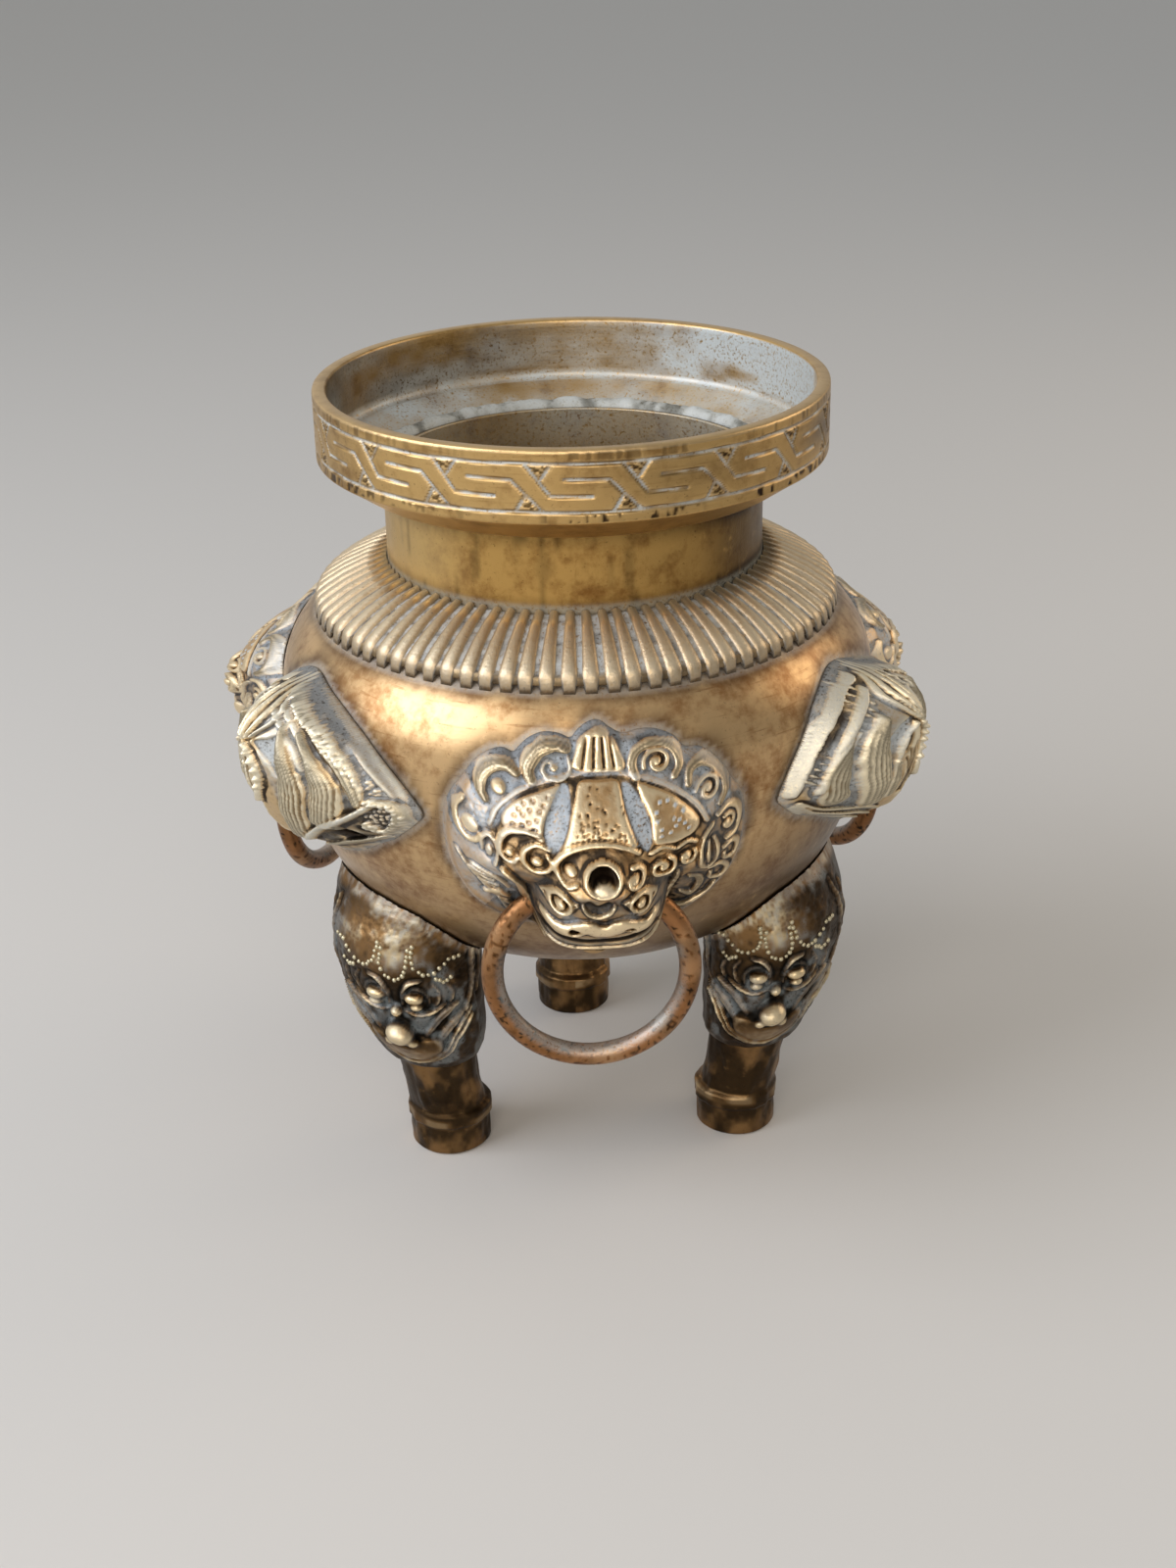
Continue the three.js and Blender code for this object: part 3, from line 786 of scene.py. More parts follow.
def relief_plate(name: str, carving: Carving, rise: np.ndarray, outline: Path, turn: float,
                 edge: float = 1.1) -> bpy.types.Object:
    """Makes a closed plate from a carving: carved in front, and hollowed behind to fit the bowl.

    Args:
        name: The object's name.
        carving: The carving.
        rise: How far the front rises off the bowl, without the carving.
        outline: The plate's outline.
        turn: Its angle from the front, in degrees.
        edge: The radius of its rounded edge.

    Returns:
        The new object.
    """
    ring = smooth_path(outline, closed=True, step=0.5)
    x, z = carving.x.copy(), carving.z.copy()
    off = signed_distance(x, z, ring)
    keep = off < 0.45 * carving.pitch
    cell = keep[:-1, :-1] & keep[1:, :-1] & keep[:-1, 1:] & keep[1:, 1:]
    wide = np.pad(cell, 1)
    around = [wide[:-1, :-1], wide[1:, :-1], wide[:-1, 1:], wide[1:, 1:]]
    used = np.logical_or.reduce(around)
    rim = used & ~np.logical_and.reduce(around)
    slope_z, slope_x = np.gradient(off, carving.pitch)
    x[rim] -= (off * slope_x)[rim]
    z[rim] -= (off * slope_z)[rim]
    back = BOWL.reach_at(x, z) + BOWL.seam
    surface = rise + carving.height * (0.3 + 0.7 * eased(-off / 1.5))
    height = np.maximum(surface, 0.5)
    share = np.clip(-off / edge, 0, 1)
    front = back + 0.25 + (height - 0.25) * share * (2 - share) * (off < 0)
    fill = (room_ahead(x, turn) - back) / np.maximum(front - back, 1)
    front = back + (front - back) * min(1.0, float(fill[used].min()))
    layers = carving.layers(0.3 * rise + carving.height)
    layers[Layer.PALE] = np.maximum(layers[Layer.PALE], 0.5 * eased(1.2 + off / 1.2))
    number = np.cumsum(used).reshape(used.shape) - 1
    count = int(used.sum())
    rows, columns = np.nonzero(cell)
    corners = [number[rows + a, columns + b] for a, b in ((0, 0), (0, 1), (1, 1), (1, 0))]
    faces = np.stack(corners, axis=1)
    backs = faces[:, ::-1] + count
    walls = []
    below, above = wide[:-2, 1:-1], wide[2:, 1:-1]
    left, right = wide[1:-1, :-2], wide[1:-1, 2:]
    for beside, start, end in ((below, 0, 1), (right, 1, 2), (above, 2, 3), (left, 3, 0)):
        open_side = ~beside[rows, columns]
        p, q = corners[start][open_side], corners[end][open_side]
        walls.append(np.stack([q, p, p + count, q + count], axis=1))
    quads = np.vstack([faces, backs, *walls]).tolist()
    fronts = turned_place(x[used], front[used], z[used], turn)
    behind = turned_place(x[used], back[used], z[used], turn)
    doubled = {layer: np.tile(grid[used], 2) for layer, grid in layers.items()}
    return mesh_piece(name, np.vstack([fronts, behind]), quads, doubled)


# Finishes


def srgb(code: str) -> tuple[float, float, float, float]:
    """Turns a hex colour into a linear one.

    Args:
        code: Six hex digits.

    Returns:
        Red, green, blue and alpha.
    """
    parts = [int(code[i:i + 2], 16) / 255 for i in (0, 2, 4)]
    linear = [c / 12.92 if c <= 0.04045 else ((c + 0.055) / 1.055) ** 2.4 for c in parts]
    return (*linear, 1.0)


def add(tree: bpy.types.NodeTree, kind: str, inputs: dict | None = None,
        **settings: object) -> bpy.types.Node:
    """Adds a node with its settings, values and links.

    Args:
        tree: The tree that it joins.
        kind: The node's type.
        inputs: Values, or sockets to link, by the input's name or number.
        settings: The node's own settings.

    Returns:
        The new node.
    """
    node = tree.nodes.new(kind)
    for key, value in settings.items():
        setattr(node, key, value)
    for key, value in (inputs or {}).items():
        if isinstance(value, bpy.types.NodeSocket):
            tree.links.new(value, node.inputs[key])
        else:
            node.inputs[key].default_value = value
    return node


# What every aged brass shares: noise roughness, a drawn line's width and a grain's height in
# millimetres, how metallic chalky deposit still is, and how rough the wax lies
NOISE_ROUGHNESS = 0.62
STREAK_WIDTH = 1.3
GRAIN_HEIGHT = 0.25
CHALK_METALLIC = 0.25
WAX_ROUGHNESS = 0.22


@dataclass(frozen=True)
class AgedBrass:
    """Old brass: bright where hands wear it, toned brown, with grey deposit in its recesses; it also shows
    painted light and shade.

    Attributes:
        name: The finish's name.
        metal: The clean metal.
        rubbed_and_lit: The metal on the highest places, and on painted highlights.
        toned: The brown toning that spreads over it in clouds.
        recess: The grime in recesses.
        deposit: The pale deposit; meshes also lay it as painted light.
        dark: The darkest patinated colour; meshes also lay it as painted shade.
        toning: How much of the surface is toned, from 0 to 1.
        roughness: How rough the clean metal is.
        cloud: The size of the toning's clouds, in millimetres.
        mottle: The size of the mottling.
        grain: The size of the casting's grain.
        grain_depth: How strongly the grain shows.
        streak: How strongly fine lines from turning or polishing show.
        streak_scale: How fast these lines change along x, y and z.
        metallic: The share of bare metal.
        wax: How much wax lies on the metal, which adds a white shine.
    """

    name: str
    metal: str
    rubbed_and_lit: str
    toned: str
    recess: str
    deposit: str
    dark: str
    toning: float = 0.5
    roughness: float = 0.34
    cloud: float = 22.0
    mottle: float = 3.5
    grain: float = 0.6
    grain_depth: float = 0.3
    streak: float = 0.2
    streak_scale: tuple[float, float, float] = (0.12, 0.12, 1.6)
    metallic: float = 1.0
    wax: float = 0.0

    def build(self) -> bpy.types.Material:
        """Makes the material from noise, the mesh's layers and coats of colour.

        Returns:
            The material.
        """
        material = bpy.data.materials.new(self.name)
        material.use_nodes = True
        tree = material.node_tree
        tree.nodes.clear()
        place = add(tree, "ShaderNodeTexCoord").outputs["Object"]
        mm = add(tree, "ShaderNodeVectorMath", {0: place, "Scale": 1 / MM}, operation="SCALE").outputs[0]
        drawn = add(tree, "ShaderNodeMapping", {"Vector": mm, "Scale": self.streak_scale}).outputs[0]
        clouds, mottle, grain, lines = (
            add(tree, "ShaderNodeTexNoise", {"Vector": vector, "Scale": 1 / size, "Detail": detail,
                                             "Roughness": NOISE_ROUGHNESS}).outputs["Fac"]
            for vector, size, detail in ((mm, self.cloud, 5), (mm, self.mottle, 6), (mm, self.grain, 3),
                                         (drawn, STREAK_WIDTH, 4)))
        cavity, pale, dark = (add(tree, "ShaderNodeAttribute", attribute_name=layer.value).outputs["Fac"]
                              for layer in Layer)
        tone = add(tree, "ShaderNodeMix", {0: 0.42, 2: clouds, 3: mottle}).outputs[0]
        low = 0.62 - 0.3 * self.toning
        toned, streaked, high, deep, mottled, pitted, patched, chalky = (
            add(tree, "ShaderNodeMapRange",
                {"Value": value, "From Min": start, "From Max": end, "To Max": top},
                interpolation_type="SMOOTHSTEP").outputs[0]
            for value, start, end, top in (
                (tone, low, low + 0.22, 0.9), (lines, 0.56, 0.75, self.streak), (cavity, 0.52, 0.8, 0.9),
                (cavity, 0.47, 0.22, 1.0), (mottle, 0.2, 0.55, 1.0), (grain, 0.62, 0.74, 0.5),
                (mottle, 0.1, 0.42, 1.0), (grain, 0.25, 0.5, 1.0)))
        # The dark and pale layers bring patina and deposit, and also painted shade and painted light
        grime, patina_and_shade, chalk_and_painted_light = (
            add(tree, "ShaderNodeMath", {0: layer, 1: broken}, operation="MULTIPLY").outputs[0]
            for layer, broken in ((deep, mottled), (dark, patched), (pale, chalky)))
        colour: tuple | bpy.types.NodeSocket = srgb(self.metal)
        for share, coat in ((toned, self.toned), (streaked, self.toned), (high, self.rubbed_and_lit),
                            (grime, self.recess), (pitted, self.recess), (patina_and_shade, self.dark),
                            (chalk_and_painted_light, self.deposit)):
            colour = add(tree, "ShaderNodeMix", {0: share, 6: colour, 7: srgb(coat)},
                         data_type="RGBA").outputs[2]
        dull = add(tree, "ShaderNodeMix", {0: 0.5, 2: deep, 3: chalk_and_painted_light}).outputs[0]
        dull = add(tree, "ShaderNodeMix", {0: 0.35, 2: dull, 3: mottle}).outputs[0]
        bare, rough = (
            add(tree, "ShaderNodeMapRange", {"Value": value, "To Min": start, "To Max": end}).outputs[0]
            for value, start, end in ((chalk_and_painted_light, self.metallic, CHALK_METALLIC),
                                      (dull, self.roughness - 0.06, self.roughness + 0.36)))
        skin = add(tree, "ShaderNodeMix", {0: 0.35 + 0.4 * self.streak, 2: grain, 3: lines}).outputs[0]
        bump = add(tree, "ShaderNodeBump", {"Height": skin, "Strength": self.grain_depth,
                                            "Distance": GRAIN_HEIGHT * MM}).outputs[0]
        shader = add(tree, "ShaderNodeBsdfPrincipled", {
            "Base Color": colour, "Metallic": bare, "Roughness": rough, "Normal": bump,
            "Coat Weight": self.wax, "Coat Roughness": WAX_ROUGHNESS}).outputs[0]
        add(tree, "ShaderNodeOutputMaterial", {"Surface": shader})
        return material


# Hand-polished brass: a soft, warm shine with brown clouds and fine lines round the bowl
POLISHED = AgedBrass(
    "hand_polished_brass", "d3b080", "e4cda3", "936637", "5b4430", "a9aaa6", "38200e",
    toning=0.62, roughness=0.34, cloud=15, mottle=2.6, grain_depth=0.18, streak=0.75, wax=0.3)
# Turned brass: satin and olive, with brown stains
TURNED = AgedBrass(
    "turned_brass", "c4a26a", "e2c79a", "8a673a", "53402a", "c6cdcd", "31241a",
    toning=0.5, roughness=0.36, cloud=12, grain_depth=0.25, streak=0.5)
# The neck's sheet brass: stained brown from the top down, with upright cracks in the patina
STAINED = AgedBrass(
    "stained_sheet_brass", "b99456", "d6b87e", "7c552a", "4a3620", "b6b8ae", "2c1e10", toning=0.6,
    roughness=0.38, cloud=9, mottle=3.2, grain_depth=0.35, streak=0.35, streak_scale=(0.9, 0.9, 0.3))
# Cast and chased brass: gold on the high places and blue-grey in the recesses
CAST = AgedBrass(
    "cast_brass", "d4b080", "f2deb8", "9c744a", "40372e", "b4bcc2", "261e17",
    toning=0.5, roughness=0.38, cloud=9, grain_depth=0.45, streak=0.05)
# Cast brass that hands have worn to a pale, silvery gold
WORN = AgedBrass(
    "worn_cast_brass", "d4b98f", "f0e4c6", "a08154", "4a4138", "c2c7c8", "2a211a",
    toning=0.4, roughness=0.4, cloud=9, grain_depth=0.45, streak=0.05)
# Dark bronze: nearly black patina that is rubbed through to brass on the high places
DARKENED = AgedBrass(
    "dark_patinated_bronze", "94724a", "e4d0a8", "5a4028", "26221d", "a9b2b4", "16130f",
    toning=0.5, roughness=0.4, cloud=8, mottle=2.6, grain_depth=0.4, streak=0.05)
# Copper-brown bronze rod, worn smooth by handling
COPPERY = AgedBrass(
    "copper_brown_bronze", "a1724a", "cfae86", "694728", "3a2d20", "bfc2be", "1f1811",
    toning=0.55, roughness=0.34, cloud=9, mottle=2.0, grain=0.45, grain_depth=0.4, streak=0.1)
# Soft solder: dull, pale and lumpy
SOLDERED = AgedBrass(
    "soft_solder", "a9a79c", "cccbc4", "8b8371", "5a543f", "c6c9c5", "3d372c",
    toning=0.5, roughness=0.5, cloud=6, mottle=2, grain_depth=0.6, streak=0.0, metallic=0.5)
# Beads of the bead chains, rubbed pale
PEARLED = AgedBrass(
    "beaded_brass", "c6bda0", "e6e0cf", "9b9070", "5a564b", "cfd3d1", "3a352b",
    toning=0.3, roughness=0.4, cloud=5, mottle=1.5, grain_depth=0.2, streak=0.0, metallic=0.8)


# Geometry Nodes


def node_group(name: str, sockets: Sequence[tuple[str, str]]) -> tuple[
        bpy.types.NodeTree, bpy.types.bpy_prop_collection]:
    """Starts a geometry tree.

    Args:
        name: Its name.
        sockets: Names and types of its inputs after the geometry.

    Returns:
        The tree and the sockets of its inputs.
    """
    tree = bpy.data.node_groups.new(name, "GeometryNodeTree")
    tree.interface.new_socket("Geometry", in_out="INPUT", socket_type="NodeSocketGeometry")
    for label, kind in sockets:
        tree.interface.new_socket(label, in_out="INPUT", socket_type=kind)
    tree.interface.new_socket("Geometry", in_out="OUTPUT", socket_type="NodeSocketGeometry")
    return tree, tree.nodes.new("NodeGroupInput").outputs


def close_group(tree: bpy.types.NodeTree, instances: bpy.types.NodeSocket,
                material: bpy.types.NodeSocket) -> None:
    """Ends a geometry tree with real meshes that carry their material.

    Args:
        tree: The tree.
        instances: What it has made.
        material: The material's socket.
    """
    real = add(tree, "GeometryNodeRealizeInstances", {"Geometry": instances})
    dressed = add(tree, "GeometryNodeSetMaterial", {"Geometry": real.outputs[0], "Material": material})
    add(tree, "NodeGroupOutput", {"Geometry": dressed.outputs[0]})


def grow(piece: bpy.types.Object, tree: bpy.types.NodeTree, values: dict[str, object]) -> bpy.types.Object:
    """Runs a geometry tree on a piece and keeps the result as its mesh.

    Args:
        piece: The object that the tree starts from.
        tree: The geometry tree.
        values: Its inputs by name.

    Returns:
        The same object.
    """
    modifier = piece.modifiers.new(tree.name, "NODES")
    modifier.node_group = tree
    for item in tree.interface.items_tree:
        if item.in_out == "INPUT" and item.name in values:
            modifier[item.identifier] = values[item.name]
    return settle(piece)


def round_tree() -> bpy.types.NodeTree:
    """Makes the tree that repeats a piece round an axis, a little unevenly.

    Returns:
        The tree.
    """
    tree, given = node_group("repeat_round", [
        ("Centre", "NodeSocketVector"), ("Count", "NodeSocketInt"), ("Unevenness", "NodeSocketFloat"),
        ("Seed", "NodeSocketInt"), ("Material", "NodeSocketMaterial")])
    spots = add(tree, "GeometryNodeMeshLine", {
        "Count": given["Count"], "Start Location": given["Centre"], "Offset": (0, 0, 0)})
    step = add(tree, "ShaderNodeMath", {0: math.tau, 1: given["Count"]}, operation="DIVIDE")
    index = add(tree, "GeometryNodeInputIndex")
    back = add(tree, "ShaderNodeMath", {0: given["Unevenness"], 1: -1.0}, operation="MULTIPLY")
    wander = add(tree, "FunctionNodeRandomValue", {
        2: back.outputs[0], 3: given["Unevenness"], "Seed": given["Seed"]}, data_type="FLOAT")
    wobbly = add(tree, "ShaderNodeMath", {0: index.outputs[0], 1: wander.outputs[1]}, operation="ADD")
    angle = add(tree, "ShaderNodeMath", {0: wobbly.outputs[0], 1: step.outputs[0]}, operation="MULTIPLY")
    turn = add(tree, "ShaderNodeCombineXYZ", {"Z": angle.outputs[0]})
    copies = add(tree, "GeometryNodeInstanceOnPoints", {
        "Points": spots.outputs[0], "Instance": given["Geometry"], "Rotation": turn.outputs[0]})
    close_group(tree, copies.outputs[0], given["Material"])
    return tree


def bead_tree() -> bpy.types.NodeTree:
    """Makes the tree that sets a small bead on every point.

    Returns:
        The tree.
    """
    tree, given = node_group("beads_on_points", [
        ("Radius", "NodeSocketFloat"), ("Least Share", "NodeSocketFloat"), ("Seed", "NodeSocketInt"),
        ("Material", "NodeSocketMaterial")])
    bead = add(tree, "GeometryNodeMeshUVSphere", {"Radius": given["Radius"], "Segments": 8, "Rings": 5})
    smooth = add(tree, "GeometryNodeSetShadeSmooth", {"Geometry": bead.outputs[0]})
    size = add(tree, "FunctionNodeRandomValue", {
        2: given["Least Share"], 3: 1.0, "Seed": given["Seed"]}, data_type="FLOAT")
    copies = add(tree, "GeometryNodeInstanceOnPoints", {
        "Points": given["Geometry"], "Instance": smooth.outputs[0], "Scale": size.outputs[1]})
    close_group(tree, copies.outputs[0], given["Material"])
    return tree


# Sub-assemblies


@dataclass
class Bowl:
    """The polished bowl."""

    finish: bpy.types.Material
    segments: int = 288
    lower_steps: int = 84
    upper_steps: int = 34
    dent: float = 0.16

    def build(self) -> None:
        """Turns the bowl, dents and tones it, paints shade on its lower right, and dresses it."""
        outside = BOWL.outline(0, self.lower_steps, self.upper_steps)
        inside = BOWL.outline(BOWL.wall, self.lower_steps // 3, self.upper_steps // 3)[::-1]
        lathe = Lathe(np.vstack([outside, inside]), self.segments)
        is_outside = (np.arange(len(lathe.profile)) < len(outside))[:, None]
        around = lathe.angle / math.tau
        dents = lattice(around * 14, lathe.z / 16, 3, 14) + 0.4 * lattice(around * 40, lathe.z / 6, 4, 40)
        lathe.radius = lathe.radius - self.dent * (0.5 + 0.5 * dents) * is_outside * (lathe.radius > 5)
        # Pale solder and scorched metal along the applied pieces
        off = self._seam_distance(lathe)
        wander = 0.5 + 0.5 * lattice(around * 60, lathe.z / 5, 6, 60)
        line = eased(1.25 - off / (0.5 + 0.5 * wander)) * is_outside
        scorch = eased(1 - off / (2.2 + 3 * wander)) * is_outside
        # Painted shade and dark painted reflection: brown darkening below the waist, most of it on the right
        painted_shade = 0.58 + 0.36 * np.sin(lathe.angle - 0.35) + 0.2 * lattice(around * 12, lathe.z / 14, 7, 12)
        below = eased((BOWL.waist_z - 4 - 10 * (1 - painted_shade) - lathe.z) / 26) * is_outside
        dark = np.maximum(np.maximum(0.55 * scorch * (1 - line), 0.5 * ~is_outside), painted_shade * below)
        layers = {Layer.CAVITY: 0.5 - 0.16 * scorch, Layer.PALE: 0.55 * line, Layer.DARK: dark}
        hand_over(lathe.piece("bowl_shell", layers), self.finish, Slot.POLISHED, "bowl")

    def _seam_distance(self, lathe: Lathe) -> np.ndarray:
        """Measures how far each corner of the bowl lies from the nearest soldered piece.

        Args:
            lathe: The bowl's corners.

        Returns:
            The distances.
        """
        nearest = np.maximum(LAYOUT.collar_edge_z - lathe.z, 0.0) * 1.4
        for turn, outline in [*((t, LionMask.outline) for t in LAYOUT.mask_turns.values()),
                              *((t, BeastBoss.outline) for t in LAYOUT.leg_turns.values())]:
            aside = np.mod(lathe.angle - math.radians(turn) + np.pi, math.tau) - np.pi
            near = (np.abs(aside) < 0.8) & (lathe.z > 62)
            x = lathe.radius[near] * np.sin(aside[near])
            off = signed_distance(x, lathe.z[near], smooth_path(outline, closed=True, step=1.0))
            nearest[near] = np.minimum(nearest[near], np.maximum(off, 0))
        return nearest


@dataclass
class Neck:
    """The short tube between the collar and the gallery."""

    finish: bpy.types.Material
    radius: float = 37.4
    wall: float = 1.1
    tail: float = 4.0
    chamfer: float = 0.33
    segments: int = 240

    def build(self) -> None:
        """Turns the tube, stains it, paints light and shade on it, and dresses it."""
        low, high = LAYOUT.mouth_z - self.tail, LAYOUT.gallery_floor_z + 0.6
        inside = self.radius - self.wall
        heights = np.linspace(low, high - self.chamfer, 60)
        outer = [(self.radius, z) for z in heights]
        inner = [(inside, z) for z in heights[::-1]]
        end = [(self.radius - self.chamfer, high), (inside, high)]
        lathe = Lathe(np.array([*outer, *end, *inner]), self.segments)
        around = lathe.angle / math.tau
        lathe.radius = lathe.radius + 0.07 * lattice(around * 60, lathe.z / 7, 21, 60)
        is_outside = lathe.radius >= self.radius - 0.5 * self.wall
        up, down = lathe.z - LAYOUT.collar_top_z, LAYOUT.gallery_floor_z - 3 - lathe.z
        cracks = eased((lattice(around * 150, lathe.z / 9, 22, 150) - 0.5) * 4) * is_outside
        stain = lattice(around * 14, lathe.z / 12, 23, 14)
        # Browner at both ends; painted shade on the back and the right, and a painted highlight on the left;
        # pale inside, painted light that lifts the tube's shadow
        front = 0.35 * eased(0.5 - 0.9 * np.cos(lathe.angle + 0.3)) * is_outside
        side = front + 0.45 * eased(1.3 * np.sin(lathe.angle) - 0.2)
        ends = 0.35 * np.maximum(eased(1 - up / 3), eased(1 - down / 4))
        dark = ends + 0.35 * cracks + 0.35 * np.maximum(stain, 0) + side
        pale = np.where(is_outside, 0.5 * eased(1 - up / 1.3), 0.5 + 0.3 * stain)
        rubbed_and_lit = 0.5 + 0.2 * eased(-1.6 * np.sin(lathe.angle + 0.2) - 0.2) * is_outside
        layers = {Layer.CAVITY: rubbed_and_lit, Layer.DARK: dark * is_outside, Layer.PALE: pale}
        hand_over(lathe.piece("neck_wall", layers), self.finish, Slot.WORN, "neck_tube")


@dataclass
class Collar:
    """The reeded collar on the bowl's shoulder."""

    finish: bpy.types.Material
    rib_count: int = 84
    rib_depth: float = 0.9
    rib_share: float = 0.76
    rib_sides: int = 7
    end_height: float = 3.2
    ground_segments: int = 168

    def _crest(self, share: np.ndarray) -> np.ndarray:
        """Draws the collar's crest.

        Args:
            share: Places on it, from the neck (0) to its blunt outer end (1).

        Returns:
            Radius and height pairs.
        """
        radius = BOWL.mouth_radius + (LAYOUT.collar_radius - BOWL.mouth_radius) * share
        fall = LAYOUT.collar_top_z - LAYOUT.collar_edge_z - self.end_height
        z = LAYOUT.collar_top_z - fall * (0.55 * share + 0.45 * share**2.2)
        return np.stack([radius, z], axis=1)

    def _rib(self) -> bpy.types.Object:
        """Makes one rib that points forward, round on top and at its outer end.

        Returns:
            The rib.
        """
        share = np.array([0, 0.3, 0.6, 0.82, 0.93, 0.975, 1.0])
        sides, width = self.rib_sides, self.rib_sides + 2
        height = self.rib_depth * 1.15
        rows = []
        for (radius, z), along in zip(self._crest(share), share):
            rounding = math.sqrt(max(1 - max((along - 0.93) / 0.075, 0) ** 2, 0.02))
            widest = 0.5 * math.tau / self.rib_count * radius * self.rib_share
            half = widest * (0.86 + 0.26 * along) * (0.55 + 0.45 * rounding)
            foot = z - (1 - rounding) - height
            for turn in np.linspace(0, math.pi, sides):
                rows.append((-half * math.cos(turn), -radius, foot + height * math.sin(turn) ** 0.8))
            rows.extend([(half, -radius, foot - 1.2), (-half, -radius, foot - 1.2)])
        rows.extend([(x * 0.9, y - 0.2, z - 1.1) for x, y, z in rows[-width:]])
        count = len(share) + 1
        starts = [(row * width, i, (i + 1) % width) for row in range(count - 1) for i in range(width)]
        faces = [[row + i, row + j, row + width + j, row + width + i] for row, i, j in starts]
        faces += [list(range(width))[::-1], list(range((count - 1) * width, count * width))]
        high = [*np.sin(np.linspace(0, math.pi, sides)), 0, 0]
        tops, outs = np.meshgrid(high, np.clip((np.arange(count) - len(share) + 4) / 4, 0, 1))
        layers = {Layer.CAVITY: 0.36 + 0.32 * tops - 0.08 * outs,
                  Layer.PALE: 0.15 + 0.5 * (1 - np.minimum(tops * 2, 1)) * (1 - outs),
                  Layer.DARK: 0.3 * outs + 0.15 * (1 - tops)}
        return mesh_piece("collar_ribs", np.array(rows), faces, layers)

    def build(self) -> None:
        """Makes the ground ring and the ribs on it, and dresses them."""
        edge = LAYOUT.collar_radius
        top = self._crest(np.linspace(0, 0.97, 30)) - [0, self.rib_depth]
        radii = np.linspace(edge - 0.9, BOWL.mouth_radius, 24)
        share = np.clip((radii - BOWL.mouth_radius) / (BOWL.radius - BOWL.mouth_radius), 0, 1)
        under = BOWL.waist_z + BOWL.shoulder_height * np.sqrt(1 - share**2) + BOWL.seam
        seat = np.stack([radii, under], axis=1)
        side = [[edge - 0.25, seat[0, 1] + 0.2], [edge - 0.1, top[-1, 1] - 1.3]]
        lathe = Lathe(np.vstack([seat[::-1], side, top[::-1]]), self.ground_segments)
        around = lathe.angle / math.tau
        rough = lattice(around * 168, lathe.radius / 0.9, 31, 168)
        patch = lattice(around * 20, lathe.radius / 6, 32, 20)
        lathe.z = lathe.z + 0.12 * rough
        on_top = eased((edge - 0.6 - lathe.radius) / 0.8)
        ground = lathe.piece("collar_ground", {
            Layer.CAVITY: 0.34 + 0.1 * rough, Layer.PALE: (0.75 + 0.25 * rough + 0.2 * patch) * on_top,
            Layer.DARK: 0.15 + 0.3 * (1 - on_top)})
        ribs = self._rib()
        grow(ribs, round_tree(), {"Centre": (AXIS.x * MM, AXIS.y * MM, 0.0), "Count": self.rib_count,
                                  "Unevenness": 0.07, "Seed": 5, "Material": self.finish})
        hand_over(ground, self.finish, Slot.CAST, "reeded_collar")
        hand_over(ribs, self.finish, Slot.CAST, "reeded_collar")


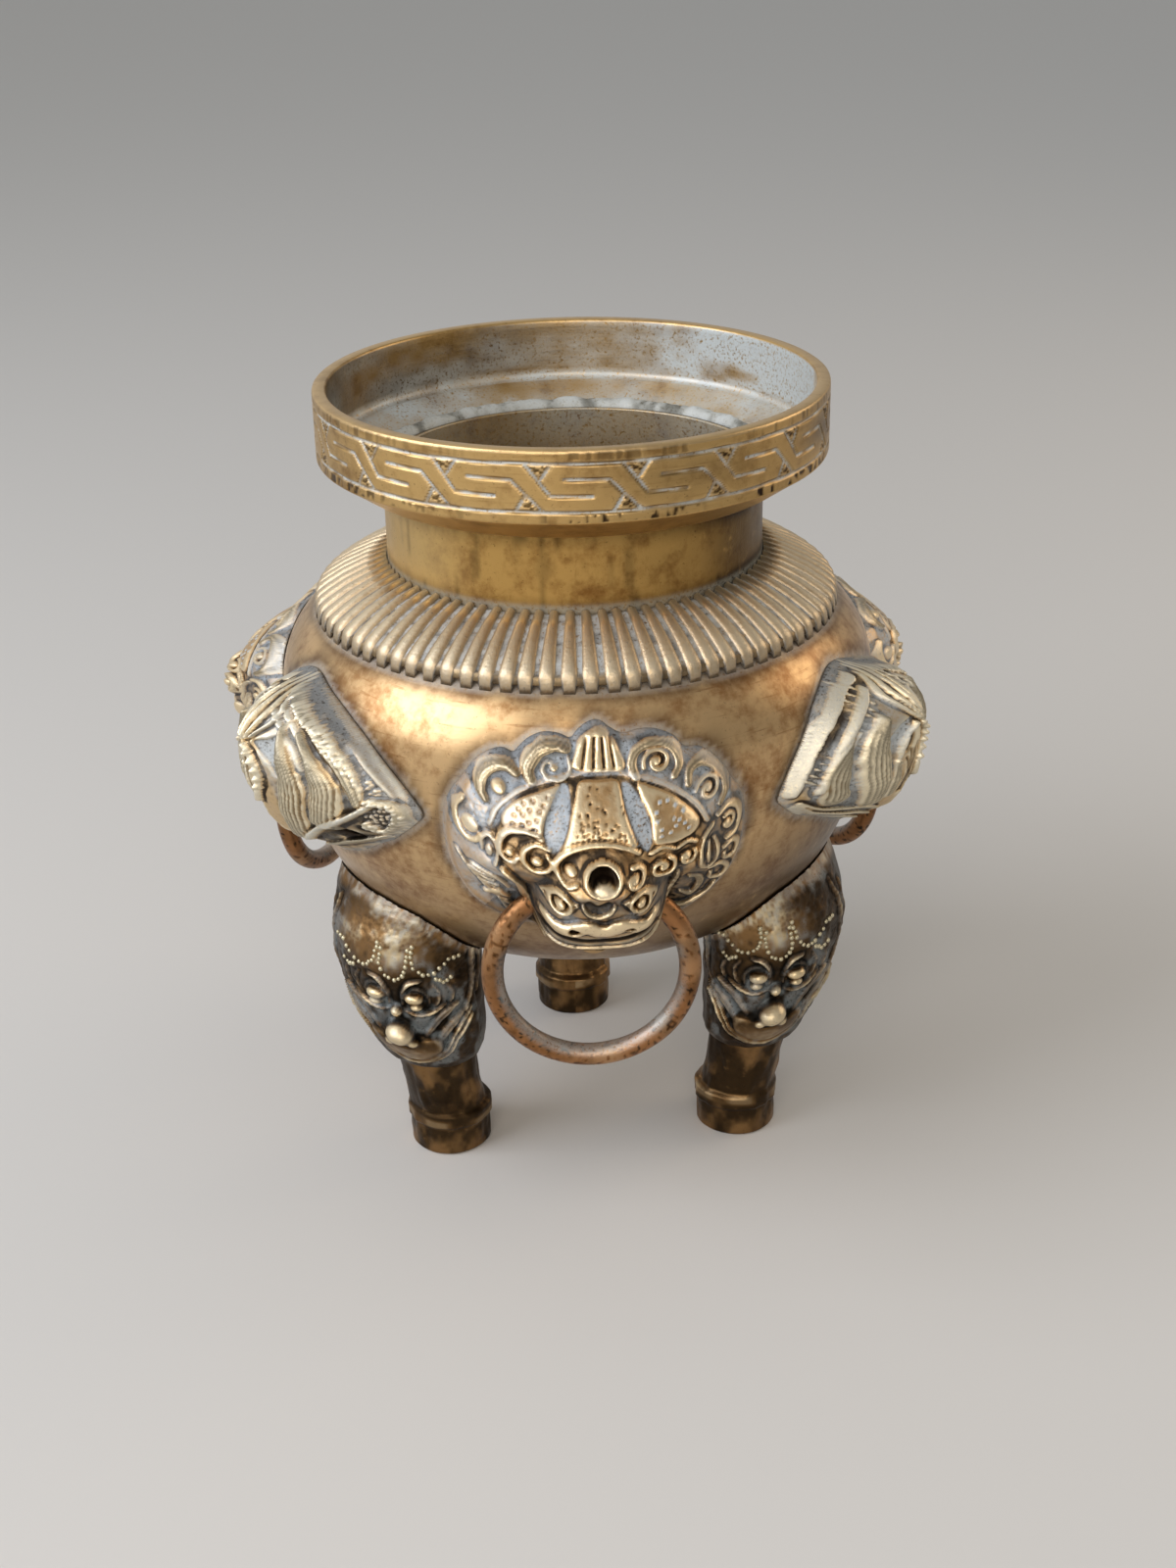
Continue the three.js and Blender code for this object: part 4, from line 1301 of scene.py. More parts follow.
@dataclass
class Gallery:
    """The dished gallery with its chased fret band, and the solder that holds it."""

    finish: bpy.types.Material
    solder_finish: bpy.types.Material
    radius: float = 50.0
    wall: float = 2.7
    floor_thickness: float = 2.2
    fillet: float = 1.4
    foot_radius: float = 0.6
    groove_inset: float = 2.4
    groove_half: float = 0.3
    groove_depth: float = 0.38
    stroke_half: float = 0.34
    repeats: int = 18
    first_stroke: float = 7.5
    segments: int = 864
    solder_radius: float = 1.15

    # One fret unit: shares of its length round the band, and of the height between the grooves
    strokes: tuple[Path, ...] = (
        ((0.0, 1.0), (0.26, 0.34), (0.68, 0.32)),
        ((0.275, 1.0), (0.165, 0.68)),
        ((0.4, 0.68), (0.86, 0.66), (1.19, 0.0)),
        ((1.0, 0.33), (0.9, 0.0)),
    )
    triangles: tuple[Path, ...] = (
        ((0.04, 0.94), (0.24, 0.94), (0.15, 0.74)),
        ((0.94, 0.06), (1.14, 0.06), (1.02, 0.28)),
    )

    def _stroke_cut(self, u: np.ndarray, v: np.ndarray, unit: float, tall: float) -> np.ndarray:
        """Works out how deep the fret's strokes cut.

        Args:
            u: Places round the band.
            v: Places up it.
            unit: The length of one fret unit.
            tall: The height between the grooves.

        Returns:
            Shares of the full depth.
        """
        cut = np.zeros(u.shape)
        for stroke in self.strokes:
            for shift in (-1, 0, 1):
                path = np.array([((a + shift) * unit, b * tall) for a, b in stroke])
                distance = to_segments(u, v, path)[0]
                cut = np.maximum(cut, eased((self.stroke_half - distance) / 0.22 + 0.5))
        return np.where((v >= 0) & (v <= tall), cut, 0)

    def _stipple(self, u: np.ndarray, v: np.ndarray, unit: float, tall: float) -> np.ndarray:
        """Punches small dots in the fret's triangles.

        Args:
            u: Places round the band.
            v: Places up it.
            unit: The length of one fret unit.
            tall: The height between the grooves.

        Returns:
            Shares of the full depth.
        """
        rng = np.random.default_rng(12)
        dots = np.zeros(u.shape)
        for triangle in self.triangles:
            corners = np.array([(a * unit, b * tall) for a, b in triangle])
            for _ in range(11):
                x, z = rng.dirichlet((1, 1, 1)) @ corners
                for shift in (-unit, 0, unit):
                    dots = np.maximum(dots, eased(1.5 - np.hypot(u - x - shift, v - z) / 0.22))
        return dots

    def _stretches(self) -> dict[str, list[Point]]:
        """Draws the gallery's section.

        Returns:
            Radius and height pairs of each stretch, from the underside round to the dish.
        """
        foot, top, floor = LAYOUT.band_foot_z, LAYOUT.gallery_top_z, LAYOUT.gallery_floor_z
        inside, bore, dish_z = self.radius - self.wall, BOWL.mouth_radius, LAYOUT.gallery_foot_z
        low, lip, bend = floor - self.floor_thickness, self.fillet, self.foot_radius
        return {
            "under": [(bore, low), (bore + 5, low + 0.9)],
            "lower": [(self.radius - bend + bend * math.cos(a), foot + bend + bend * math.sin(a))
                      for a in np.radians(np.linspace(-80, 0, 5))],
            "band": [(self.radius, z) for z in np.arange(foot + 0.8, top - 0.45, 0.2)],
            "lip": [(self.radius - 0.12, top - 0.18), (self.radius - 0.4, top), (inside + 0.4, top),
                    (inside + 0.1, top - 0.2)],
            "inner_wall": [(inside, z) for z in np.linspace(top - 0.6, dish_z + lip, 12)],
            "fillet": [(inside - lip * (1 - math.cos(a)), dish_z + lip * (1 - math.sin(a)))
                       for a in np.radians(np.linspace(0, 80, 6))[1:]],
            "dish": [(inside - lip - (inside - lip - bore) * s, floor + (dish_z - floor) * (1 - s))
                     for s in np.linspace(0, 1, 12)],
        }

    def _chase(self, angle: np.ndarray, z: np.ndarray) -> tuple[np.ndarray, ...]:
        """Chases the band.

        Args:
            angle: Angles of its corners.
            z: Heights of its rows.

        Returns:
            Shares for its lines, dots and ticks, its unevenness, and painted shade that browns its right
            side.
        """
        unit = math.tau * self.radius / self.repeats
        low_groove = LAYOUT.band_foot_z + self.groove_inset
        tall = LAYOUT.gallery_top_z - self.groove_inset - low_groove
        per_unit = self.segments // self.repeats
        u, v = np.meshgrid(np.arange(per_unit) * unit / per_unit, z - low_groove)
        shift = round(self.first_stroke / 360 * self.segments)
        cut, dots = (np.roll(np.tile(part, self.repeats), shift, axis=1)
                     for part in (self._stroke_cut(u, v, unit, tall), self._stipple(u, v, unit, tall)))
        v = np.tile(v, self.repeats)
        around = angle / math.tau
        wander = 0.12 * lattice(around * 50, v * 0 + 3, 41, 50)
        grooves = np.maximum(eased((self.groove_half - np.abs(v + wander)) / 0.2 + 0.5),
                             eased((self.groove_half - np.abs(v - tall + wander)) / 0.2 + 0.5))
        borders = np.maximum(eased(-(v + 0.25) / 0.4), 0.45 * eased((v - tall - 0.3) / 0.4))
        ticks = eased((lattice(around * 430, v / 2.6, 43, 430) - 0.1) * 3) * borders
        ticks *= eased((lattice(around * 24, v * 0 + 8, 44, 24) + 0.5) * 2)
        unevenness = lattice(around * 160, v / 1.4, 45, 160)
        lines = np.maximum(cut * (0.85 + 0.15 * unevenness), grooves)
        # Painted shade: the band browns towards its right side
        painted_right_shade = eased(0.3 + 0.9 * np.sin(angle)) * (0.5 + 0.5 * lattice(around * 16, v / 5, 48, 16))
        return lines, dots, ticks, unevenness, painted_right_shade

    def build(self) -> None:
        """Turns the gallery, chases its band and dresses it."""
        parts = self._stretches()
        profile = np.array([point for part in parts.values() for point in part])
        ends = dict(zip(parts, np.cumsum([len(part) for part in parts.values()])))
        row = np.arange(len(profile))
        in_band = (row >= ends["lower"] - 1) & (row < ends["band"])
        lip_rows = slice(ends["band"] - 1, ends["band"] + 3)
        inner = (row > ends["band"] + 3)[:, None]
        floor = (row >= ends["fillet"])[:, None]
        fillet = (row >= ends["inner_wall"] - 1)[:, None] & ~floor
        lathe = Lathe(profile, self.segments)
        lines, dots, ticks, unevenness, painted_right_shade = self._chase(lathe.angle[in_band], profile[in_band, 1])
        depth = self.groove_depth * lines + 0.16 * dots + 0.16 * ticks - 0.04 * unevenness
        lathe.radius[in_band] -= np.maximum(depth, 0)
        surface, pale, dark = np.zeros((3, *lathe.radius.shape))
        surface[in_band] = -depth
        cavity = 0.5 + 0.9 * (surface - blurred(surface, 2.5, wraps=True))
        cavity[lip_rows] = 0.66
        pale[in_band] = 0.75 * eased((lines - 0.6) * 3.4) * (0.7 + 0.4 * unevenness)
        # Painted shadow darkens the edges of the cut lines; dots and ticks are dark punched marks
        painted_groove_shadow = 0.55 * eased(1.3 - np.abs(lines - 0.35) / 0.3) * (lines > 0.02)
        marks = np.maximum(np.maximum(0.8 * dots, 0.85 * ticks), painted_groove_shadow)
        dark[in_band] = marks + 0.75 * painted_right_shade * (1 - lines)
        # Inside: chalky deposit on the floor, the fillet and the back of the wall; pale painted light on the
        # lit right side of the wall, and painted shade on the left
        painted_lit_wall = eased(np.cos(lathe.angle - math.radians(108)) - 0.12)
        back = eased(0.4 - np.cos(lathe.angle))
        left = eased(0.1 - np.sin(lathe.angle) * 0.9)
        stain = lattice(lathe.angle / math.tau * 22, lathe.z / 4, 46, 22)
        spots = lattice(lathe.angle / math.tau * 90, lathe.z / 1.6, 47, 90)
        wall = painted_lit_wall * (0.85 + 0.4 * stain + 0.2 * spots) + back * (0.2 + 0.35 * stain + 0.15 * spots)
        chalk_and_painted_light = np.where(floor, 0.62 + 0.35 * stain + 0.25 * spots, wall)
        chalk_and_painted_light = np.where(fillet, (0.4 + 0.4 * back) * (0.85 + 0.3 * spots), chalk_and_painted_light)
        shade = (0.6 * left * ~fillet + 0.3 * stain) * ~floor * inner
        layers = {Layer.CAVITY: cavity, Layer.PALE: np.where(inner, chalk_and_painted_light, pale),
                  Layer.DARK: np.maximum(dark, shade)}
        hand_over(lathe.piece("gallery_band", layers), self.finish, Slot.WORN, "gallery_rim")
        self._lay_solder()

    def _lay_solder(self) -> None:
        """Lays the lumpy ring of solder round the neck's end."""
        bore, reach = BOWL.mouth_radius, self.solder_radius
        width = self.radius - self.wall - self.fillet - bore
        turn = np.linspace(0, np.pi, 12)
        radius = bore + reach - reach * np.cos(turn)
        rise = LAYOUT.gallery_foot_z - LAYOUT.gallery_floor_z
        seat = LAYOUT.gallery_floor_z + rise * (radius - bore) / width + 0.1
        over = np.stack([radius, seat + 0.95 * reach * np.sin(turn)], axis=1)[::-1]
        below = np.stack([radius[1:-1], seat[1:-1] - 0.25], axis=1)
        lathe = Lathe(np.vstack([over, below]), 480)
        around = lathe.angle / math.tau
        lumps = lattice(around * 90, lathe.angle * 0 + 1, 51, 90)
        lumps += 0.6 * lattice(around * 210, lathe.radius, 52, 210)
        swell = np.append(np.sin(turn), np.zeros(len(below)))[:, None]
        lathe.z = lathe.z + 0.32 * lumps * swell
        lathe.radius = lathe.radius + 0.25 * np.maximum(lumps, 0) * swell
        layers = {Layer.CAVITY: 0.42 + 0.25 * lumps, Layer.PALE: 0.6 + 0.35 * lumps,
                  Layer.DARK: 0.08 - 0.3 * lumps}
        hand_over(lathe.piece("solder_ring", layers), self.solder_finish, Slot.SOLDER, "gallery_solder")


@dataclass
class LionMask:
    """A cast lion mask, with the bar behind its jaw that a ring hangs on."""

    place: str
    turn: float
    finish: bpy.types.Material
    centre_z: float = 91.8
    half_width: float = 28.0
    half_height: float = 21.2
    edge: float = 0.95
    forehead: float = 15.4
    snout: float = 21.2
    snout_half_width: float = 12.6

    outline = (
        (0.9, 112.9), (3.2, 111.5), (5.2, 110.7), (8.2, 111.1), (11.2, 110.8), (14.4, 109.4), (16.3, 107.4),
        (18.8, 107), (21, 105.7), (23.6, 102.8), (25, 100), (26.4, 98), (27.6, 95.2), (27.9, 91.6),
        (27.6, 87.6), (26.8, 84), (25, 80.2), (22.2, 76.8), (18.5, 73.6), (15.2, 71.9), (9, 70.9), (0, 70.7),
        (-9, 70.9), (-15.6, 71.9), (-20, 74), (-23, 76.6), (-25, 80), (-26.8, 84.3), (-27.7, 89.3),
        (-27.9, 93), (-27.2, 97), (-25.8, 100), (-24.3, 102), (-23, 104), (-21.4, 106), (-19.2, 107.6),
        (-16.6, 108.4), (-14.6, 107.8), (-13.5, 108.8), (-11.6, 110.3), (-9, 111.2), (-6.3, 111),
        (-4.3, 110.3), (-3.1, 111.4), (-1.2, 112.6),
    )
    forehead_shape = ((-1, 0), (-0.6, 0.1), (-0.3, 0.5), (-0.1, 0.88), (0.1, 1), (0.34, 0.9), (0.53, 0.65),
                      (0.7, 0.29), (0.85, 0.09), (1, 0))
    snout_shape = ((-0.96, 0), (-0.88, 0.5), (-0.74, 0.72), (-0.65, 0.82), (-0.41, 0.89), (-0.27, 0.96),
                   (-0.09, 1), (0.05, 0.91), (0.2, 0.67), (0.34, 0))
    snout_width = ((-0.8, 0.92), (-0.5, 1), (-0.25, 0.98), (-0.05, 0.84), (0.15, 0.6))

    def _rise(self, x: np.ndarray, z: np.ndarray, pitch: float) -> np.ndarray:
        """Works out the plain form under the ornament: plate, forehead and snout.

        Args:
            x: Places across.
            z: Heights.
            pitch: The distance between two places.

        Returns:
            How far it stands off the bowl.
        """
        power = np.where(z < self.centre_z, 3.2, 2.3)
        up = (z - self.centre_z) / self.half_height
        middle = np.clip(1 - np.abs(x / self.half_width) ** power - np.abs(up) ** power, 0, 1) ** 0.8
        dome = self.forehead * np.interp(up, *zip(*self.forehead_shape)) * middle
        wide = self.snout_half_width * np.interp(up, *zip(*self.snout_width))
        beside = np.minimum(np.abs(x) / wide, 1)
        snout = self.snout * np.interp(up, *zip(*self.snout_shape)) * (1 - beside**4) ** 0.5
        return self.edge + blurred(np.maximum(dome, snout), 0.7 / pitch)

    @staticmethod
    def _slope(x: float, z: float) -> float:
        """Works out how much longer the mask's surface is than it is tall.

        Args:
            x: A place across.
            z: Its height.

        Returns:
            The length over the height.
        """
        return 1 + np.interp(z, (72, 88, 91, 97, 112), (0, 0, 0.3, 0.5, 0.5)) * max(1 - abs(x / 25) ** 3, 0)

    def _carve_mane(self, work: Carving) -> None:
        """Carves the finial and the curls of the mane round the forehead.

        Args:
            work: The carving.
        """
        work.wash(((-26, 97), (-22, 104), (-14, 108), (0, 111), (14, 109), (22, 104), (26, 97), (20, 97),
                   (12, 103.6), (0, 105.8), (-12, 104), (-19, 97)), 0.8, 0.2, 64)
        work.wash(((-27, 97), (-20, 98), (-17, 91), (-14, 84), (-14, 75), (-20, 75), (-26, 83)), 0.75, 0.1,
                  65)
        # Painted shade: the mane's right side is washed dark
        work.wash(((27, 97), (19, 98), (17, 90), (14, 82), (14, 73), (21, 76), (26, 84)), 0.2, 0.7, 66)
        work.panel(((-4.3, 106.7), (-3.8, 109), (-2.6, 110.9), (0.8, 112.4), (3, 111), (4.4, 109),
                    (5.3, 106.5), (0.5, 106.2)), 1.5, 1.0)
        for low_x, high_x in ((-2.5, -1.5), (-0.5, -0.1), (1.4, 1.3), (3.2, 2.6)):
            work.groove(((low_x, 106.9), (high_x, 110.9)), 0.5, 0.6, dark=0.3)
        work.ridge(((-5.4, 109.5), (-7.6, 109.9), (-10.1, 109.2), (-11.7, 107.7), (-12.3, 106.4),
                    (-11.7, 105.2)), 1.75, 2.0, (0.75, 1, 0.95, 0.6), flutes=4)
        work.sink_round((-7.6, 107), (2.6, 2.4), 0.8, pale=0.85)
        work.ridge(((-4.9, 108.2), (-4.7, 106.6), (-6.2, 105.5), (-8.6, 105.6), (-9.6, 106.5), (-8.9, 107.4),
                    (-7.8, 107.3)), 0.55, 1.2, pale=0.35)
        work.ball((-7.5, 106.8), (0.8, 0.8), 1.4)
        work.ridge(((-14.4, 106), (-16.2, 106.7), (-18.7, 106.3), (-20.4, 104.9), (-20.8, 103), (-20, 101.7)),
                   1.5, 1.9, (0.7, 1, 0.9, 0.5), flutes=4)
        work.sink_round((-17.4, 103.9), (2.3, 2.1), 0.6, pale=0.7)
        work.ball((-17.5, 103.8), (1.45, 1.5), 1.7)
        work.ridge(((-24, 100.4), (-25.4, 98.8), (-25.5, 96.9), (-24.8, 95), (-23.4, 94), (-21.9, 94.4),
                    (-21.1, 95.6)), 0.75, 1.3, (0.6, 1, 0.8))
        work.ball((-22.9, 96.7), (1.7, 1.7), 1.3, pale=0.2)
        work.stipple(((-21.6, 101), (-19.6, 99.8), (-19.4, 97.6), (-21.6, 97.6), (-23.4, 99.4)), 0.8, 0.3,
                     0.35, 67, pale=0.9)
        work.ridge(((-20.8, 93), (-20.8, 95.2), (-19.6, 96.4), (-18.4, 95.2), (-18.1, 93), (-18.6, 91)), 0.5,
                   1.1, pale=0.35)
        work.ball((-19.6, 93.4), (0.7, 1.4), 0.9, pale=0.4)
        work.ridge(((6.9, 105.4), (6.4, 107), (7.4, 108.6), (9.8, 109.4), (12.6, 109.1), (14.5, 107.8),
                    (15, 106.1), (13.9, 104.7)), 1.1, 1.6, (0.8, 1, 1, 0.6), flutes=2)
        work.spiral((11, 106.9), 2.7, 1.5, 200, -1, 0.55, 1.3)
        work.ridge(((16.4, 103.4), (17, 105.1), (19.2, 105.7), (21.6, 104.6), (23.3, 102.4), (23.5, 100.2),
                    (22.3, 98.8)), 1.1, 1.6, (0.7, 1, 1, 0.6), flutes=2, dark=0.2)
        work.spiral((20.1, 101.7), 2.5, 1.5, 170, -1, 0.5, 1.2, pale=0.3)
        work.ridge(((21.7, 97), (23.8, 97.6), (25.7, 96.2), (26.4, 94), (25.4, 91.9), (23.4, 91.8)), 0.75,
                   1.3)
        work.spiral((23.8, 94.5), 1.6, 1.2, 120, -1, 0.45, 1.0)
        work.ridge(((20.6, 96), (18.8, 94.3), (18.1, 91), (18.5, 88), (19.8, 86.3), (21.2, 88.2),
                    (21.5, 91.2), (20.8, 93.4)), 0.6, 1.2)
        work.ridge(((19.9, 93), (19.6, 90.5), (19.9, 88.4)), 0.5, 0.9)
        work.ridge(((22.7, 90.4), (24.8, 90.5), (26, 88.2), (25.2, 86), (23.3, 86.4), (23.2, 88.2)), 0.6, 1.2)
        work.ridge(((20.2, 85.4), (22.6, 85.1), (24.2, 82.7), (23, 80.6), (20.9, 81.2), (20.9, 83)), 0.65,
                   1.2)
        work.ridge(((16.6, 84.6), (18.6, 82.6), (19, 79.6), (17.4, 77.4), (15.4, 78.4)), 0.8, 1.3, flutes=2)
        work.ridge(((13.6, 75.2), (16.6, 74.6), (20.2, 76.4), (22, 78.8)), 0.8, 1.1)
        for i in range(9):
            share = i / 8
            start = (-25.6 + 7.4 * share, 90.6 - 12 * share)
            bend = (start[0] + 2.4 + 0.7 * math.sin(3 * i), start[1] - 3.0)
            end = (start[0] + 6.2 - 2 * share, start[1] - 4.4 - share)
            work.ridge((start, bend, end), 0.55, 1.4, (0.5, 1, 0.35), pale=0.45 - 0.3 * (i % 2))
        work.ridge(((-20.6, 80.3), (-18.4, 80.5), (-16.4, 79.5)), 1.2, 1.5, (0.5, 1, 0.6))
        work.ridge(((-16.4, 83.2), (-17.8, 85.6), (-20.2, 87.6), (-22.8, 88.9)), 0.8, 1.1, pale=0.3)

    def _carve_forehead(self, work: Carving) -> None:
        """Carves the three lobes of the forehead, the channels between them and their punched marks.

        Args:
            work: The carving.
        """
        left = ((-15.6, 102), (-11.6, 103.7), (-6.6, 104.9), (-8, 102.6), (-9.8, 99.6), (-10, 97.2),
                (-12.6, 98), (-16.4, 97.6), (-17.2, 99.8))
        middle = ((-3.1, 105.4), (0.4, 105.8), (3.6, 105.4), (4.7, 101.5), (6.4, 97), (5.6, 96), (3.2, 97.2),
                  (0.2, 97.8), (-3.4, 97.4), (-7, 95.6), (-6, 98.4), (-4.4, 102.6))
        right = ((7, 104.8), (11.2, 103.8), (14.8, 101.8), (18, 98), (15.9, 96), (9.6, 96.3), (9, 100.4))
        work.panel(left, 0.9, 0.9, pale=0.22)
        work.panel(middle, 1.0, 0.9)
        work.panel(right, 0.9, 0.9)
        work.panel(((-5.7, 105), (-4.8, 103.9), (-5.1, 100.8), (-6.2, 97.8), (-7.8, 95.6), (-9.2, 96),
                    (-10, 98), (-9.7, 100.4), (-8.6, 102.6), (-7.3, 104.5)), -0.35, 0.6, pale=0.95)
        work.panel(((4.2, 104.9), (6, 104.5), (8, 102), (9, 99.2), (9.1, 96.6), (8, 95.2), (6.6, 96.8),
                    (5.3, 99.6), (4.3, 102.6)), -0.35, 0.6, pale=0.95)
        for x, z, width in ((-7.4, 100.2, 1.9), (6.9, 100, 1.8)):
            work.stipple(((x - width, z - 3), (x, z - 4), (x + width, z), (x, z + 4), (x - width, z + 2)),
                         0.7, 0.22, -0.14, 68, dark=0.3, pale=0.55)
        work.ridge(((-19.4, 98), (-17.8, 100.9), (-13.8, 103.8), (-8, 105.5), (-2, 106.2), (3.4, 106.1),
                    (8.6, 105.2), (13.6, 103.3), (17.6, 100.3), (19.6, 97)), 0.72, 0.6, (0.6, 1, 1, 0.6),
                   pale=0.6, moat=0.25)
        punched = ((-13.1, 102.4), (-11.5, 102.9), (-14.1, 101.6), (-12.1, 101.7), (-13.3, 101),
                   (-10.4, 101.6), (-12.4, 100), (-10.9, 100.5), (-11.3, 99.1), (-14.9, 100.6), (-15.3, 99.4),
                   (-8.8, 103.4), (-9.6, 102.4), (-13.6, 99.5), (-10.6, 98.2), (-12.2, 98.8), (-15.9, 98.4),
                   (-14.2, 98.4))
        work.dots(punched, 0.55, -0.4, dark=0.45)
        work.dots(punched, 0.26, 0.36, pale=0.4)
        white = ((10.8, 102.2), (12.2, 102.2), (13.6, 101.4), (10.1, 101.0), (10.2, 99.9), (10.9, 98.6),
                 (13.2, 99.7), (14.2, 99.3), (15.2, 98.6), (15.8, 97.7), (10.7, 97.6), (12.4, 97.9),
                 (15, 100.4), (13.4, 98.6))
        work.dots(white, 0.62, -0.22, dark=0.3)
        work.dots(white, 0.42, 0.75, pale=1.0)
        rng = np.random.default_rng(8)
        loose = [(rng.uniform(-4.2, 4.4), 98.4 + 6.4 * rng.uniform(0, 1) ** 1.5) for _ in range(46)]
        work.dots(loose, 0.3, -0.36, dark=0.6)
        work.dots([(x, 98.3 - 0.02 * x * x) for x in np.arange(-5, 5.4, 0.95)], 0.3, -0.35, dark=0.5)

    def _carve_eye(self, work: Carving, x: float, z: float, out: int) -> None:
        """Carves an eye: lids, a ring and a bead in it.

        Args:
            work: The carving.
            x: The eye's place across.
            z: Its height.
            out: 1 if its outer corner is on the right, or else -1.
        """
        work.sink_round((x, z), (4, 3.4), 0.9, dark=0.5)
        work.ridge(((x + out * 3.2, z - 0.4), (x + out * 0.8, z + 1.7), (x - out * 3, z + 0.5)), 0.5, 0.9,
                   dark=0.1)
        work.ridge(((x + out * 3.2, z - 0.4), (x - out * 0.2, z - 1.8), (x - out * 3, z + 0.5)), 0.42, 0.7,
                   dark=0.1)
        work.hoop((x, z), 1.85, 0.45, 1.2)
        work.ball((x, z), (1.0, 1.0), 1.6)

    def _carve_face(self, work: Carving) -> None:
        """Carves brow curls, the ring between them, eyes, nose, muzzle and jaw.

        Args:
            work: The carving.
        """
        work.wash(((-16, 92), (-8, 91), (8, 91), (16, 91), (13, 82), (10, 75), (-10, 75), (-14, 84)), 0.15,
                  0.75, 69)
        work.ridge(((-10.6, 98.3), (-13.2, 98.7), (-16, 98.2), (-17.5, 96.6), (-17.7, 94.6), (-16.9, 93.2),
                    (-15.4, 92.9), (-14.7, 93.9)), 0.8, 1.5, (0.5, 1, 1, 0.8, 0.7), pale=0.25)
        work.ball((-16.1, 94.6), (0.95, 1.0), 1.4)
        work.ridge(((-8.9, 96.3), (-11.4, 96.8), (-13.4, 95.5), (-13.6, 93.5), (-11.8, 92), (-9.6, 92.3),
                    (-8.7, 93.8), (-9.4, 95.2)), 0.68, 1.4)
        work.ball((-11.3, 94), (1.15, 1.15), 1.5)
        work.ridge(((-4.6, 92.2), (-6.3, 91.6), (-7.8, 92.6), (-8, 94.4), (-6.4, 96), (-3.2, 97.2),
                    (0.6, 97.5), (4, 96.8), (6.6, 95.6)), 0.75, 1.5, (0.5, 0.9, 1, 1, 0.9, 0.7))
        work.ball((-5.6, 93.7), (1.1, 1.1), 1.4)
        work.spiral((5.7, 92.2), 2.1, 1.3, 100, -1, 0.5, 1.3)
        work.spiral((10.8, 91.9), 2.6, 1.5, 60, -1, 0.55, 1.4)
        work.spiral((15.5, 92.4), 1.7, 1.2, 30, -1, 0.5, 1.2)
        work.ridge(((13.4, 94.6), (15.6, 95.3), (17.4, 94.4)), 0.5, 1.0)
        work.ridge(((8.6, 94.9), (10.9, 95.6), (13, 94.8)), 0.5, 0.9)
        work.sink_round((0, 92.8), (3.7, 3.7), 1.9, dark=1.0)
        work.hoop((0, 92.8), 3.0, 0.55, 1.5)
        work.ball((0.1, 91.6), (1.9, 1.3), 1.1, moat=0, pale=0.15)
        self._carve_eye(work, -7.6, 88.2, -1)
        self._carve_eye(work, 6.5, 88.4, 1)
        work.ridge(((-3.7, 88.7), (-2.9, 87.2), (-1.1, 86.4), (0.8, 87), (1.8, 88.5)), 0.55, 1.3)
        work.groove(((-2.7, 89), (-1.1, 88), (0.7, 88.8)), 0.9, 0.7, dark=0.9, pale=0.1)
        work.sink_round((-5.8, 84.9), (2.4, 1.6), 0.4, pale=0.5)
        work.sink_round((4.6, 85.2), (2.2, 1.5), 0.4, pale=0.4, dark=0.2)
        work.ridge(((-10.2, 83.5), (-8.2, 82.4), (-5.6, 82.3), (-3, 83.3), (-1.2, 82.5), (1.2, 82.5),
                    (3.2, 83.4), (5.6, 82.6), (8, 82.9), (9.3, 84.4)), 1.8, 1.9, (0.6, 1, 1, 1, 0.6))
        for x in (-5.2, 4.6):
            work.sink_round((x, 82.2), (1.3, 1.1), 1.9, dark=1.0)
        work.groove(((-10.6, 80.6), (-6.4, 79), (-1, 78.6), (4.4, 79), (9.4, 80.6)), 1.1, 0.9, dark=0.8)
        work.ridge(((-12.6, 80.6), (-10, 77.8), (-6, 76.4), (-1, 76), (4, 76.3), (8.6, 77.8), (11.2, 80.4)),
                   0.6, 1.2)
        work.ridge(((-17.2, 90.6), (-15.4, 88.6), (-14.1, 85.2), (-13.3, 81), (-12.2, 77.6), (-10.4, 75.3)),
                   1.0, 1.8, (0.6, 1, 1, 0.7))
        work.ridge(((13.6, 89.8), (13.7, 86), (13, 82), (11.9, 78.2), (10.2, 75.6)), 0.85, 1.5,
                   (0.6, 1, 1, 0.7), dark=0.3)
        for i in range(6):
            z = 88.4 - 2.1 * i
            work.groove(((12.5, z), (14.4, z - 0.9)), 0.35, 0.5, dark=0.5)

    def build(self) -> None:
        """Carves the mask, opens the room for its ring and dresses it."""
        work = Carving((-28.6, 70), (28.6, 113.6), 0.24, self._slope)
        rise = self._rise(work.x, work.z, work.pitch)
        work.roughen(2.6, 0.16, 61)
        self._carve_mane(work)
        self._carve_forehead(work)
        self._carve_face(work)
        work.roughen(0.7, 0.07, 62)
        work.height = blurred(work.height, 0.55)
        mask = relief_plate(f"mask_{self.place}", work, rise, self.outline, self.turn)
        LAYOUT.open_ring_room(mask, self.turn)
        hand_over(mask, self.finish, Slot.CAST, f"lion_mask_{self.place}")


